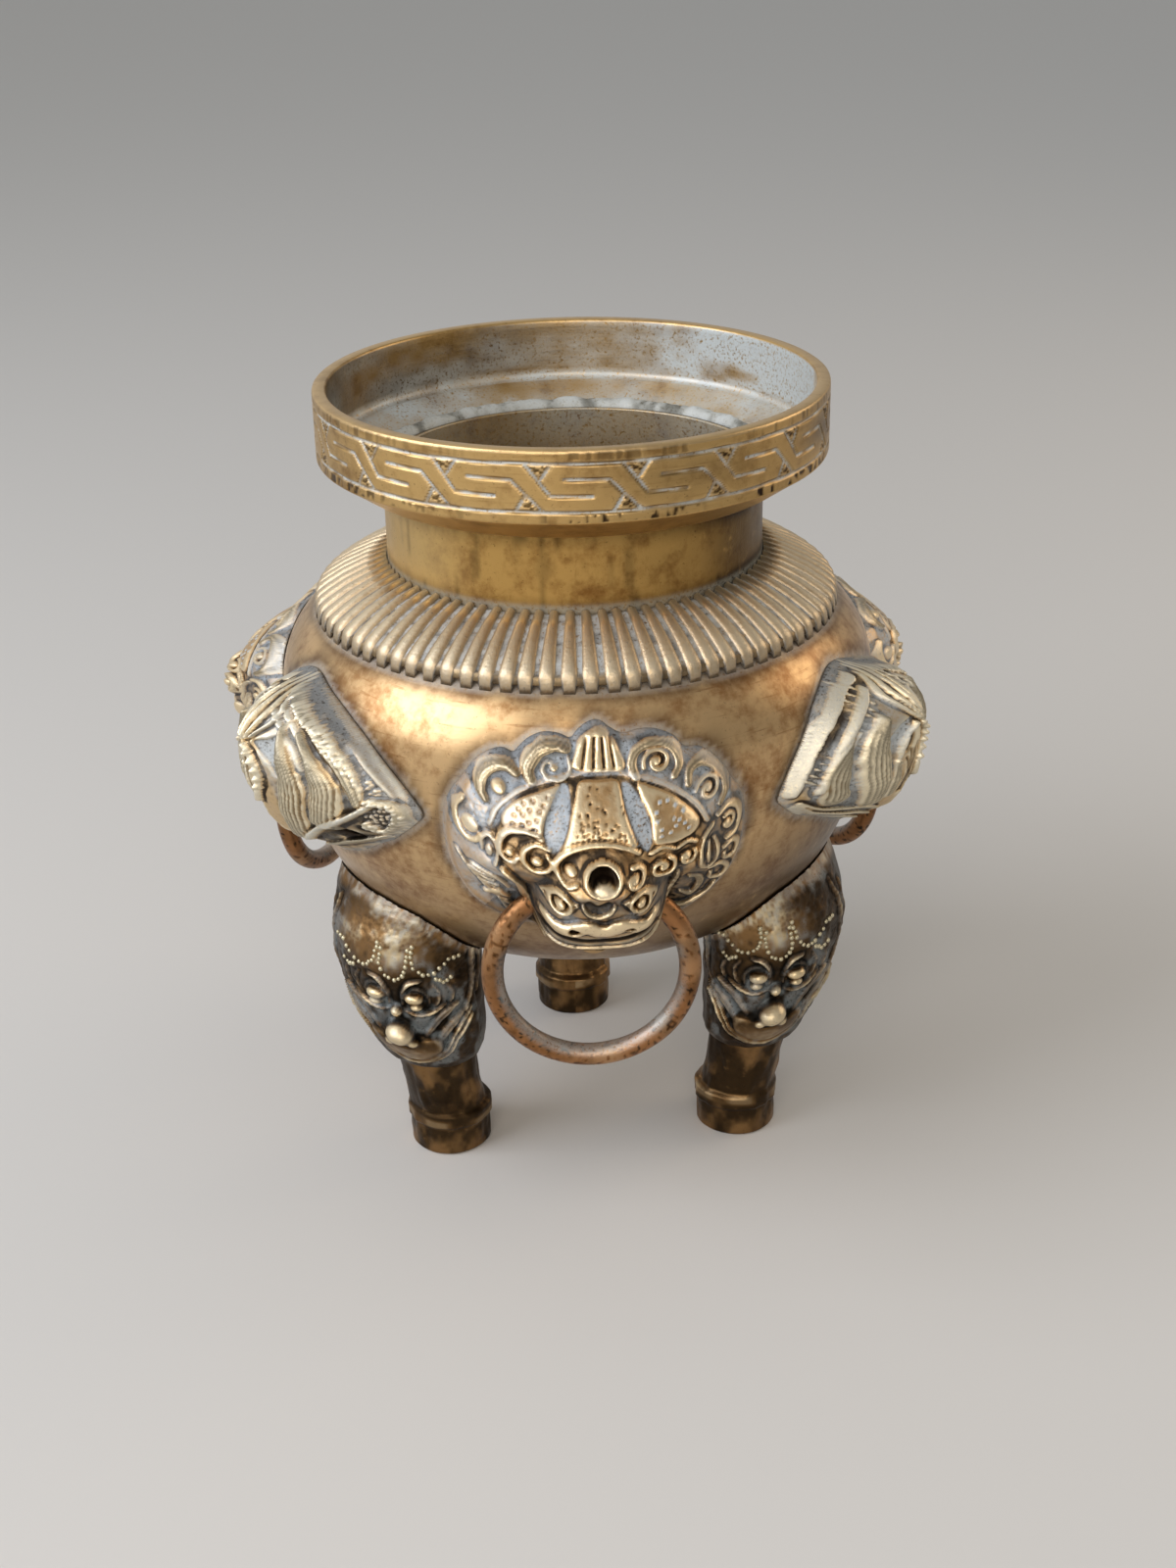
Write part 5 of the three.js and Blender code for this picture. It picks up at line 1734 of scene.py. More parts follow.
@dataclass
class LooseRing:
    """A loose ring that hangs behind a mask's jaw."""

    place: str
    turn: float
    finish: bpy.types.Material
    radius: float = 18.5
    rod: float = 2.14
    reach: float = 62.0
    around: int = 300
    across: int = 40

    def build(self) -> None:
        """Bends the rod into a ring, wears it and dresses it."""
        # Angles round the ring, and round its rod
        sweep, roll = np.meshgrid(np.linspace(0, math.tau, self.around, endpoint=False),
                                  np.linspace(0, math.tau, self.across, endpoint=False), indexing="ij")
        along, over = sweep / math.tau, roll / math.tau
        pits = lattice(along * 190, over * 22, 71, 190)
        waves = lattice(along * 18, over * 0, 72, 18)
        clouds = lattice(along * 26, over * 3, 73, 26)
        rod = self.rod - 0.04 + 0.035 * waves - 0.04 * eased((pits - 0.4) * 2.5)
        out = self.radius + rod * np.cos(roll)
        x = LAYOUT.ring_shift + out * np.cos(sweep)
        z = LAYOUT.ring_centre_z + out * np.sin(sweep)
        reach = self.reach + rod * np.sin(roll)
        points = turned_place(x.ravel(), reach.ravel(), z.ravel(), self.turn)
        number = np.arange(sweep.size).reshape(sweep.shape)
        after = np.roll(number, -1, 0)
        faces = np.stack([number, after, np.roll(after, -1, 1), np.roll(number, -1, 1)], axis=-1)
        # Painted highlight in pale on the inner face of the lower half, which faces up, and pale deposit in
        # clouds on the inner face; dark in its pits and clouds, and painted shade on the inner face of the
        # upper half
        inner, lower = eased(-1.2 * np.cos(roll)), eased(0.3 - np.sin(sweep))
        layers = {Layer.CAVITY: 0.55 + 0.1 * waves - 0.25 * eased((pits - 0.3) * 2.5),
                  Layer.PALE: 0.5 * inner * lower + 0.3 * eased(clouds) * inner,
                  Layer.DARK: 0.45 * eased((pits - 0.35) * 2.4) + 0.35 * eased(clouds + 0.2)
                  + 0.2 * inner * (1 - lower)}
        ring = mesh_piece(f"{self.place}_ring", points, faces.reshape(-1, 4).tolist(), layers)
        hand_over(ring, self.finish, Slot.RING, f"ring_{self.place}", body=f"{self.place}_handle")


@dataclass
class BeastBoss:
    """A beast head with a beaked ridge and combed locks, over a leg."""

    place: str
    turn: float
    finish: bpy.types.Material
    corner_z: float = 92.0
    half_width: float = 27.0
    upper: float = 20.4
    lower: float = 15.5
    ridge_x: float = -5.0
    rise: float = 13.6
    edge: float = 0.9

    outline = (
        (-4.4, 112.1), (0.4, 110.9), (6.6, 109.1), (11.5, 107.1), (15.2, 105.1), (19.3, 101.9), (23.4, 97.9),
        (26.3, 94.4), (26.8, 92.4), (25, 90.2), (22.5, 88), (19.6, 85.6), (15.4, 83.2), (10.1, 80),
        (2.1, 77.1), (-2, 77.3), (-7, 79.6), (-12.6, 82.6), (-17.4, 85), (-22, 87), (-25.8, 90.2),
        (-26.9, 92.3), (-24.8, 96.8), (-22.4, 100.8), (-20.2, 104), (-17, 107.4), (-13, 109.9), (-8.5, 111.8),
    )
    ridge_shape = ((-1, 0), (-0.85, 0.12), (-0.6, 0.62), (-0.4, 0.75), (-0.1, 0.88), (0.25, 0.97), (0.43, 1),
                   (0.6, 0.97), (0.75, 0.83), (0.88, 0.55), (1, 0.1))

    def _rise(self, x: np.ndarray, z: np.ndarray, pitch: float) -> np.ndarray:
        """Works out the plain form under the locks: a leaning pyramid on a lozenge.

        Args:
            x: Places across.
            z: Heights.
            pitch: The distance between two places.

        Returns:
            How far it stands off the bowl.
        """
        low = z < self.corner_z
        share = np.clip(np.abs(z - self.corner_z) / np.where(low, self.lower, self.upper), 0, 1)
        ridge = np.where(low, self.ridge_x * (1 - share), self.ridge_x)
        power = np.where(low, 1.25, 1.7)
        width = (1 - share**power) ** (1 / power)
        left = ridge - (self.half_width + ridge) * width
        right = ridge + (self.half_width - ridge) * width
        span = np.where(x < ridge, ridge - left, right - ridge)
        aside = np.clip(np.abs(x - ridge) / np.maximum(span, 1e-3), 0, 1)
        up = np.where(low, -share, share)
        height = self.rise * np.interp(up, *zip(*self.ridge_shape)) * (1 - aside) ** 0.8
        return self.edge + blurred(height, 0.6 / pitch)

    @staticmethod
    def _slope(x: float, z: float) -> float:
        """How much longer the boss's surface is than it is tall."""
        return 1.2

    def _carve_right(self, work: Carving) -> None:
        """Carves the locks, band and strap to the right of the ridge.

        Args:
            work: The carving.
        """
        work.wash(((-2, 111), (8, 109.4), (20, 102.4), (25, 96.4), (14, 91.6), (6, 86), (0, 95)), 0.6, 0.15,
                  85)
        work.ridge(((-3, 111.3), (6.2, 108.8), (14.8, 104.8), (19, 101.5), (23, 97.4), (25.6, 93.8)), 0.75,
                   0.6, (0.7, 1, 1, 1), flutes=1, pale=0.45, dark=0.2)
        work.ridge(((-1.6, 110.6), (3.6, 108.4), (9.4, 105.8), (14.6, 102.2), (17.6, 98), (19, 94.6)), 1.6,
                   1.9, (0.3, 0.6, 0.8, 1, 1, 0.8), flutes=3)
        work.stipple(((-1.5, 111), (7, 108.6), (14.4, 104.6), (19.4, 100.4), (22.8, 96.4), (20.2, 95.2),
                      (17.2, 99.2), (12.4, 103.2), (5.6, 106.9), (-1, 109.6)), 0.8, 0.42, 0.5, 81, pale=0.3)
        work.ridge(((-0.8, 109.2), (4.8, 106.6), (9.2, 103.6), (11.6, 100)), 0.75, 1.6, (0.5, 1, 1, 0.6),
                   pale=0.3)
        work.ridge(((-1.4, 108.2), (3.6, 105.8), (7, 103), (9, 99.4)), 0.65, 1.5, (0.5, 1, 1, 0.6), pale=0.45)
        work.ridge(((6.8, 106.2), (10.8, 101.8), (13.4, 97), (13, 92.4), (11.7, 89)), 3.1, 2.7,
                   (0.12, 0.4, 0.9, 1, 0.8), flutes=7)
        work.ridge(((3.4, 106.8), (5.6, 101.6), (6.9, 96), (5.8, 90), (4.4, 84)), 3.1, 2.5,
                   (0.15, 0.6, 1, 1, 0.7), flutes=7)
        work.panel(((-2.2, 102.6), (0.6, 103.8), (3.4, 105), (3.7, 101.4), (3.3, 96.6), (1, 99.4)), -1.0, 0.9,
                   pale=0.9)
        work.ridge(((-3.6, 102), (-1.9, 99.8), (-1, 97.4), (-1.3, 94.4), (-2.6, 90.4)), 0.9, 1.4,
                   (0.7, 1, 0.8), pale=0.3)
        for x, z in ((-2.5, 100.6), (-1.7, 98.9), (-1.1, 97.2), (-0.9, 95.4), (-1.4, 93.6)):
            work.ball((x, z), (0.85, 0.8), 2.0, pale=0.2)
        work.groove(((-3.4, 100.8), (-2.5, 97.4), (-2.6, 93.4), (-3.4, 89)), 0.45, 0.6, dark=0.5)
        work.wash(((5, 83), (12, 88.4), (20, 93.4), (24.6, 92), (22, 88), (15, 83.6), (8, 80.6)), 0.1, 0.9,
                  88)
        work.ridge(((4.6, 82.8), (9.4, 86.9), (15.8, 90.7), (21.4, 94.9)), 0.75, 2.0, (0.8, 1, 0.7), pale=0.6)
        work.sink_round((12.6, 86), (4.2, 2.4), 2.2, dark=1.0)
        work.sink_round((17.4, 88.4), (1.6, 1.4), 0.8, dark=1.0)
        work.ridge(((20.8, 95.2), (23.8, 94.7), (25, 92.4), (23.4, 89.6), (20.8, 88.4), (19.2, 90)), 1.3, 1.4,
                   (0.8, 1, 0.8), dark=0.45)
        work.stipple(((20, 95.6), (24, 95.4), (25.9, 92.4), (24, 88.8), (20.6, 87.4), (18.4, 90)), 0.85, 0.36,
                     0.5, 82, pale=0.4)
        work.ridge(((4, 80.2), (10, 82.8), (15.6, 85), (20.4, 87)), 0.75, 1.0, (0.6, 1, 0.6), dark=0.5)

    def _carve_left(self, work: Carving) -> None:
        """Carves the locks, band and strap to the left of the ridge.

        Args:
            work: The carving.
        """
        work.wash(((-8, 110), (-20, 102), (-25, 93), (-18, 87), (-8, 83), (-7, 95)), 0.55, 0.35, 86)
        work.ridge(((-8, 111), (-13.6, 108.6), (-20, 103.4), (-23.6, 98), (-26, 92.6)), 0.7, 0.9,
                   (0.7, 1, 1, 1), pale=0.45)
        for i in range(15):
            share = i / 14
            x, z = -10.6 - 12.4 * share, 109.4 - 15.2 * share - 1.6 * share * (1 - share)
            work.ridge(((x - 1.2, z + 1.0), (x + 0.2, z), (x + 1.0, z - 1.2)), 0.34, 0.9, dark=0.15)
        work.ridge(((-9.4, 109.4), (-15.2, 104.8), (-19.8, 98.8), (-22.8, 92.6)), 0.75, 1.5, (0.6, 1, 1, 0.9),
                   pale=0.45)
        work.ridge(((-15.4, 103), (-18.6, 98.6), (-20.2, 94.6), (-20, 90.6)), 2.4, 2.0, (0.15, 0.5, 0.95, 1),
                   flutes=5, dark=0.2)
        work.groove(((-13.6, 104.6), (-16.8, 100.6), (-17.4, 96.6), (-16.4, 91)), 1.0, 0.9, pale=0.8)
        work.ridge(((-11.6, 105), (-13.8, 100.4), (-14.1, 96), (-13.2, 91.4), (-12.4, 87.8)), 2.9, 2.8,
                   (0.2, 0.7, 1, 0.95, 0.7), flutes=6)
        work.panel(((-6.2, 103.8), (-9, 102.4), (-11.6, 99.4), (-11, 96.4), (-9.2, 98.4), (-7.2, 101)), -0.8,
                   0.9, pale=0.85)
        work.ridge(((-6, 102.6), (-8, 100.2), (-9.2, 97.4), (-9.6, 94.8)), 0.55, 1.2, pale=0.4)
        work.sink_round((-6.9, 99), (1.5, 3.4), 1.5, dark=1.0)
        work.ridge(((-9.6, 95.4), (-9.2, 91.4), (-8.2, 87.6)), 1.1, 1.5, (0.6, 1, 0.9), flutes=2)
        for shift in (0, -1.5, -2.9):
            work.ridge(((-24.6, 90.6 + shift * 0.4), (-20.6, 88.2 + shift * 0.8), (-16, 86.9 + shift),
                        (-11, 85.6 + shift), (-7, 83.8 + shift)), 0.62, 1.2, dark=0.15)

    def _carve_folds(self, work: Carving) -> None:
        """Carves the folds that run down the ridge to its tip, and those of the beak below it.

        Args:
            work: The carving.
        """
        folds = (((-6.4, 111), (-8.2, 107.8), (-5.4, 103.4), 0.3),
                 ((-5.4, 111.6), (-6.4, 108), (-4.8, 103), 0.1),
                 ((-4.2, 111.9), (-4.4, 108), (-4.2, 102.8), 0.25),
                 ((-3.2, 111.5), (-2.2, 108), (-3.4, 103.2), 0.15),
                 ((-2.4, 111), (0.4, 107.4), (-2.4, 103.6), 0.4))
        for top, middle, low, pale in folds:
            work.ridge((top, middle, low), 0.62, 1.1, (0.6, 1, 0.55), pale=pale, moat=0.5)
            beside = ((top[0] + 0.9, top[1] - 0.6), (middle[0] + 1, middle[1]), (low[0] + 0.6, low[1] + 0.4))
            work.groove(beside, 0.3, 0.4, dark=0.5, pale=0.2)
        for i in range(4):
            work.groove(((-4 - i, 100 - 1.5 * i), (-4.6 - 0.6 * i, 94), (-3.6 - 0.4 * i, 87)), 0.4, 0.45,
                        dark=0.45)

    def build(self) -> None:
        """Carves the boss and dresses it."""
        work = Carving((-27.4, 76.4), (27.4, 112.9), 0.22, self._slope)
        rise = self._rise(work.x, work.z, work.pitch)
        work.roughen(2.2, 0.2, 83)
        self._carve_right(work)
        self._carve_left(work)
        self._carve_folds(work)
        work.roughen(0.7, 0.07, 84)
        work.height = blurred(work.height, 0.55)
        boss = relief_plate(f"boss_{self.place}", work, rise, self.outline, self.turn)
        hand_over(boss, self.finish, Slot.CAST, f"beast_boss_{self.place}")


class LegSkin(NamedTuple):
    """The leg's surface, as grids with one value for each corner.

    Attributes:
        x: Places across.
        reach: Distances forward from the bowl's axis.
        z: Heights.
        around: Places round the knee from the face's middle.
        lift: The relief.
        front: 1 where the relief is laid.
    """

    x: np.ndarray
    reach: np.ndarray
    z: np.ndarray
    around: np.ndarray
    lift: np.ndarray
    front: np.ndarray


@dataclass
class Leg:
    """A leg with a beast mask on its knee, a round shaft and a banded foot."""

    place: str
    turn: float
    twist: float
    finish: bpy.types.Material
    bead_finish: bpy.types.Material
    foot_reach: float = 35.8
    foot_radius: float = 8.3
    band_radius: float = 8.8
    band_z: float = 7.0
    band_height: float = 2.4
    shaft_radius: float = 7.9
    shaft_lean: float = 2.6
    knee_low_z: float = 24.5
    knee_high_z: float = 68.6
    knee_inner: float = 30.0
    knee_reach: float = 57.6
    knee_half_width: float = 18.0
    face_radius: float = 16.0
    squareness: float = 2.1
    sides: int = 240
    row_step: float = 0.32

    # Up the knee: its reach beyond the shaft, and its half width, as shares
    knee_shape = ((0, 0, 0.48), (0.03, 0.3, 0.7), (0.1, 0.42, 0.84), (0.2, 0.58, 0.91), (0.31, 0.74, 0.93),
                  (0.44, 0.88, 0.95), (0.56, 0.96, 0.98), (0.66, 0.98, 0.99), (0.76, 0.91, 1.01),
                  (0.86, 0.77, 1.04), (0.93, 0.63, 1.07), (1, 0.5, 1.09))
    bead_chains = (
        ((-2.7, 57), (-2.9, 54), (-1.7, 51.5), (0.5, 50.7), (2.4, 51.6), (2.9, 54), (3, 57.5)),
        ((3.8, 58.4), (4.3, 55), (5.8, 52.6), (8.2, 52), (10.6, 53.2), (12.8, 54.8), (15.4, 55)),
        ((-3.6, 58.2), (-4.2, 55), (-5.8, 52.6), (-8.2, 52), (-10.6, 53.2), (-12.8, 54.8), (-15.4, 55)),
        ((9.8, 50.8), (11.4, 49.9), (13, 50.7)),
        ((-9.8, 50.8), (-11.4, 49.9), (-13, 50.7)),
    )

    def _sections(self, z: np.ndarray) -> tuple[np.ndarray, np.ndarray, np.ndarray]:
        """Works out the leg's sections.

        Args:
            z: Their heights.

        Returns:
            Outer reach, inner reach and half width.
        """
        foot, shaft = self.foot_reach, self.shaft_radius
        top = foot + self.shaft_lean
        outer_shaft = top + shaft
        band_top = self.band_z + self.band_height
        marks = [(0, foot, self.foot_radius - 0.5), (0.5, foot, self.foot_radius),
                 (self.band_z - 0.7, foot, self.foot_radius), (self.band_z, foot, self.band_radius),
                 (band_top, foot, self.band_radius), (band_top + 0.8, foot + 0.5, shaft),
                 (17, foot + 1.8, shaft - 0.1), (self.knee_low_z, top, shaft + 0.3)]
        heights, middles, radii = map(np.array, zip(*marks))
        middle, radius = np.interp(z, heights, middles), np.interp(z, heights, radii)
        share = (z - self.knee_low_z) / (self.knee_high_z - self.knee_low_z)
        ups, outs, wides = map(np.array, zip(*self.knee_shape))
        is_knee = share > 0
        knee_outer = outer_shaft + (self.knee_reach - outer_shaft) * np.interp(share, ups, outs)
        outer = np.where(is_knee, knee_outer, middle + radius)
        fade = eased(share * 12)
        inner = np.where(is_knee, (middle - radius) * (1 - fade) + self.knee_inner * fade, middle - radius)
        half = np.where(is_knee, self.knee_half_width * np.interp(share, ups, wides), radius)
        return outer, inner, half

    def _carve_half(self, work: Carving, side: int) -> None:
        """Carves one half of the beast's face: eye, brow, cheek and whiskers.

        Args:
            work: The carving.
            side: 1 for the right half, -1 for the left one.
        """
        strokes = ((((1.6, 44.6), (1.7, 47), (3.2, 49.8), (6.4, 50.6)), 0.5, 1.2, 0.6),
                   (((2.4, 47.4), (4.2, 48.6), (6.4, 48), (7.6, 46), (7.4, 44)), 0.42, 0.9, 0.4),
                   (((8.6, 49.8), (10, 47.8), (9.6, 45.2), (8.2, 43.8)), 0.42, 0.9, 0.45),
                   (((12, 49.6), (13.4, 46.8), (12.4, 44)), 0.5, 0.8, 0.4),
                   (((1.6, 43.4), (4.6, 42.5), (8, 43), (12, 44.6)), 0.45, 1.2, 0.25),
                   (((14.6, 44), (9.4, 41.4), (5.4, 37.8)), 0.9, 0.8, 0.3),
                   (((16.6, 42), (11.6, 39), (6.8, 34.8)), 1.0, 0.8, 0.3),
                   (((17.4, 62), (19.6, 54), (19, 46), (16, 41)), 0.8, 0.7, 0.3),
                   (((21, 60), (22.8, 52), (21.4, 43.6)), 0.8, 0.7, 0.2))
        for points, half, height, pale in strokes:
            work.ridge([(side * x, z) for x, z in points], half, height, (0.4, 1, 1, 0.4), flutes=1,
                       pale=pale, moat=0.5)
        work.sink_round((side * 4.2, 45.8), (3.2, 2.6), 0.7, dark=0.8)
        work.ball((side * 4.3, 46.6), (2.3, 1.5), 2.3)
        work.ball((side * 4.6, 44.7), (1.7, 0.9), 2.1, dark=0.1)
        work.ball((side * 2.2, 36.6), (1.4, 1.2), 2.6, dark=0.6)

    def _carve(self) -> Carving:
        """Carves the beast's face.

        Returns:
            The carving, over places round the knee from the face's middle, and up it.
        """
        work = Carving((-27, 22), (27, 70), 0.3)
        work.roughen(3.2, 0.3, 91)
        work.groove(((-16, 40), (-8, 33), (0, 31.6), (8, 33), (16, 40)), 2.2, 0.5, dark=0.3)
        for side in (-1, 1):
            self._carve_half(work, side)
        work.panel(((-8.6, 36.4), (-5, 37.2), (0, 36), (5, 37.2), (8.6, 36.4), (6.8, 31.6), (0, 29.8),
                    (-6.8, 31.6)), 1.1, 1.0)
        for shift, half in ((0, 0.75), (1.9, 0.6)):
            work.ridge(((-18, 40 + shift), (-13, 35.6 + shift), (-8, 31.4 + 0.6 * shift),
                        (0, 29 + 0.2 * shift), (8, 31.4 + 0.6 * shift), (13, 35.6 + shift), (18, 40 + shift)),
                       half, 1.1, (0.5, 1, 0.5), dark=0.15)
        work.ball((0, 43.3), (1.35, 1.25), 2.0)
        work.ball((0, 38.4), (3.1, 2.6), 3.4, pale=0.15, dark=0.75)
        for side in (-1, 1):
            work.stipple([(side * x, z) for x, z in ((5, 63), (12, 64), (20, 60), (21, 50), (15, 49),
                                                     (9, 56))], 0.95, 0.32, -0.25, 92, dark=0.3)
        work.stipple(((-9, 62), (0, 65), (9, 62), (6, 57), (-6, 57)), 0.95, 0.32, -0.25, 93, dark=0.3)
        work.roughen(0.8, 0.1, 94)
        work.height += 2.2 * np.exp(-(work.x / 8) ** 2 - ((work.z - 36) / 5.5) ** 2)
        work.height = blurred(work.height, 0.55)
        return work

    def _skin(self, work: Carving) -> LegSkin:
        """Lays the carving over the leg's rounded sections.

        Args:
            work: The carving.

        Returns:
            The leg's surface.
        """
        rows = np.concatenate([np.arange(0, 12, 0.25), np.arange(12, self.knee_high_z, self.row_step),
                               [self.knee_high_z]])
        z, angle = np.meshgrid(rows, np.linspace(0, math.tau, self.sides, endpoint=False), indexing="ij")
        outer, inner, half = self._sections(z)
        across, deep = np.sin(angle), np.cos(angle)
        power = 2 / self.squareness
        x = half * np.sign(across) * np.abs(across) ** power
        y = (outer - inner) / 2 * np.sign(deep) * np.abs(deep) ** power
        aside = np.mod(angle - math.radians(self.twist) + np.pi, math.tau) - np.pi
        around = self.face_radius * aside
        front = eased((1.65 - np.abs(aside)) * 2.5) * eased((z - 25.6) / 2.5) * eased((69 - z) / 3)
        lift = work.sample(work.height, around, z) * front
        hide = 0.22 * lattice(angle / math.tau * 34, z / 3.5, 94, 34) * eased(z / 3)
        length = np.hypot(x / np.maximum(half, 1), y / np.maximum((outer - inner) / 2, 1))
        grow_by = (lift + hide) / np.maximum(length, 0.2)
        x = x + grow_by * across
        reach = (outer + inner) / 2 + y + grow_by * deep
        return LegSkin(x, reach, z, around, lift, front)

    def _layers(self, work: Carving, skin: LegSkin) -> dict[Layer, np.ndarray]:
        """Works out worn-through brass, a painted highlight on the knee's dome, dark ground and pale deposit
        over the leg.

        Args:
            work: The carving.
            skin: The leg's surface.

        Returns:
            Values for the material.
        """
        x, reach, z, around, lift, front = skin
        hollow = lift - blurred(lift, 3, wraps=True)
        band = eased(1.6 - np.abs(z + 0.12 * x - self.band_z - self.band_height / 2))
        patches = lattice(around / 5 + 30, z / 5, 95) + 0.5 * lattice(around / 1.7 + 60, z / 1.7, 96)
        fine = lattice(around / 0.7 + 80, z / 1.6, 97)
        shaft = z < self.knee_low_z + 1
        # Brass rubbed through the patina: the knee's muzzle, the foot's band, flecks on the shaft; the knee's
        # dome, set left of the face's middle, is rubbed brass and a painted highlight
        dome = eased(1.4 * (1 - np.hypot((around + 4) / 17, (z - 58) / 9))) * front
        muzzle = eased(1.3 - np.hypot(around / 9, (z - 32) / 4)) * front
        worn = 0.46 + 0.8 * lattice(around / 9 + 30, z / 7, 95) + 0.4 * lattice(around / 4 + 60, z / 3, 96)
        worn = eased(worn + 0.2 * lattice(around / 1.8 + 90, z / 1.2, 98))
        band = band * eased(0.7 + 1.4 * lattice(around / 9 + 10, z / 30, 99))
        rub_and_painted_light = np.where(shaft, 0.05 * worn + 0.2 * band, 0.3 * dome * (0.7 + 0.6 * patches) + 0.16 * muzzle)
        cavity = 0.42 + 0.6 * hollow + rub_and_painted_light
        dark = np.where(shaft, 0.84 - 0.7 * worn - 0.5 * band, 0.85 - 0.75 * dome - 0.6 * muzzle)
        dark = np.maximum(dark, work.sample(work.dark, around, z) * front)
        # Bright filed metal along the bowl, blue-grey deposit on the face, and a silvery painted highlight on
        # the knee's dome
        near_bowl = eased(1.8 - (reach - BOWL.reach_at(x, z)) / 2.4) * (z > 50)
        pale = np.maximum(work.sample(work.pale, around, z) * front, 0.35 * near_bowl * eased(0.6 + fine))
        deposit_and_sheen = 0.35 * eased((patches + 0.1) * 1.5) * ~shaft * front * (1 - dome)
        deposit_and_sheen = deposit_and_sheen + 0.4 * dome * eased(0.4 + fine) * eased(0.5 + patches)
        cavity = cavity + near_bowl * (0.12 + 0.12 * fine)
        return {Layer.CAVITY: cavity, Layer.PALE: np.maximum(pale, deposit_and_sheen),
                Layer.DARK: dark * (1 - 0.75 * near_bowl) * (1 - eased(hollow * 1.6))}

    def build(self) -> None:
        """Makes the leg, fits it to the bowl and dresses it."""
        work = self._carve()
        skin = self._skin(work)
        number = np.arange(skin.x.size).reshape(skin.x.shape)
        after = np.roll(number, -1, 1)
        faces = np.stack([number[:-1], after[:-1], after[1:], number[1:]], axis=-1).reshape(-1, 4).tolist()
        faces += [number[0, ::-1].tolist(), number[-1].tolist()]
        points = turned_place(skin.x.ravel(), skin.reach.ravel(), skin.z.ravel(), self.turn)
        leg = mesh_piece(f"{self.place}_leg", points, faces, self._layers(work, skin))
        LAYOUT.fit_to_bowl(leg)
        hand_over(leg, self.finish, Slot.DARK, f"leg_{self.place}")
        self._set_beads(skin)

    def _set_beads(self, skin: LegSkin) -> None:
        """Sets the chains of beads on the knee.

        Args:
            skin: The leg's surface.
        """
        spots = np.vstack([smooth_path(chain, step=0.95) for chain in self.bead_chains])
        near_face = (np.abs(skin.around) < 24) & (skin.z > 46)
        x, reach, z, around = (part[near_face] for part in skin[:4])
        nearest = [np.argmin((around - across) ** 2 + (z - up) ** 2) for across, up in spots]
        points = turned_place(x[nearest], reach[nearest], z[nearest], self.turn)
        beads = mesh_piece(f"{self.place}_leg_beads", points, [], {})
        grow(beads, bead_tree(), {"Radius": 0.57 * MM, "Least Share": 0.75, "Seed": 7,
                                  "Material": self.bead_finish})
        hand_over(beads, self.bead_finish, Slot.DARK)


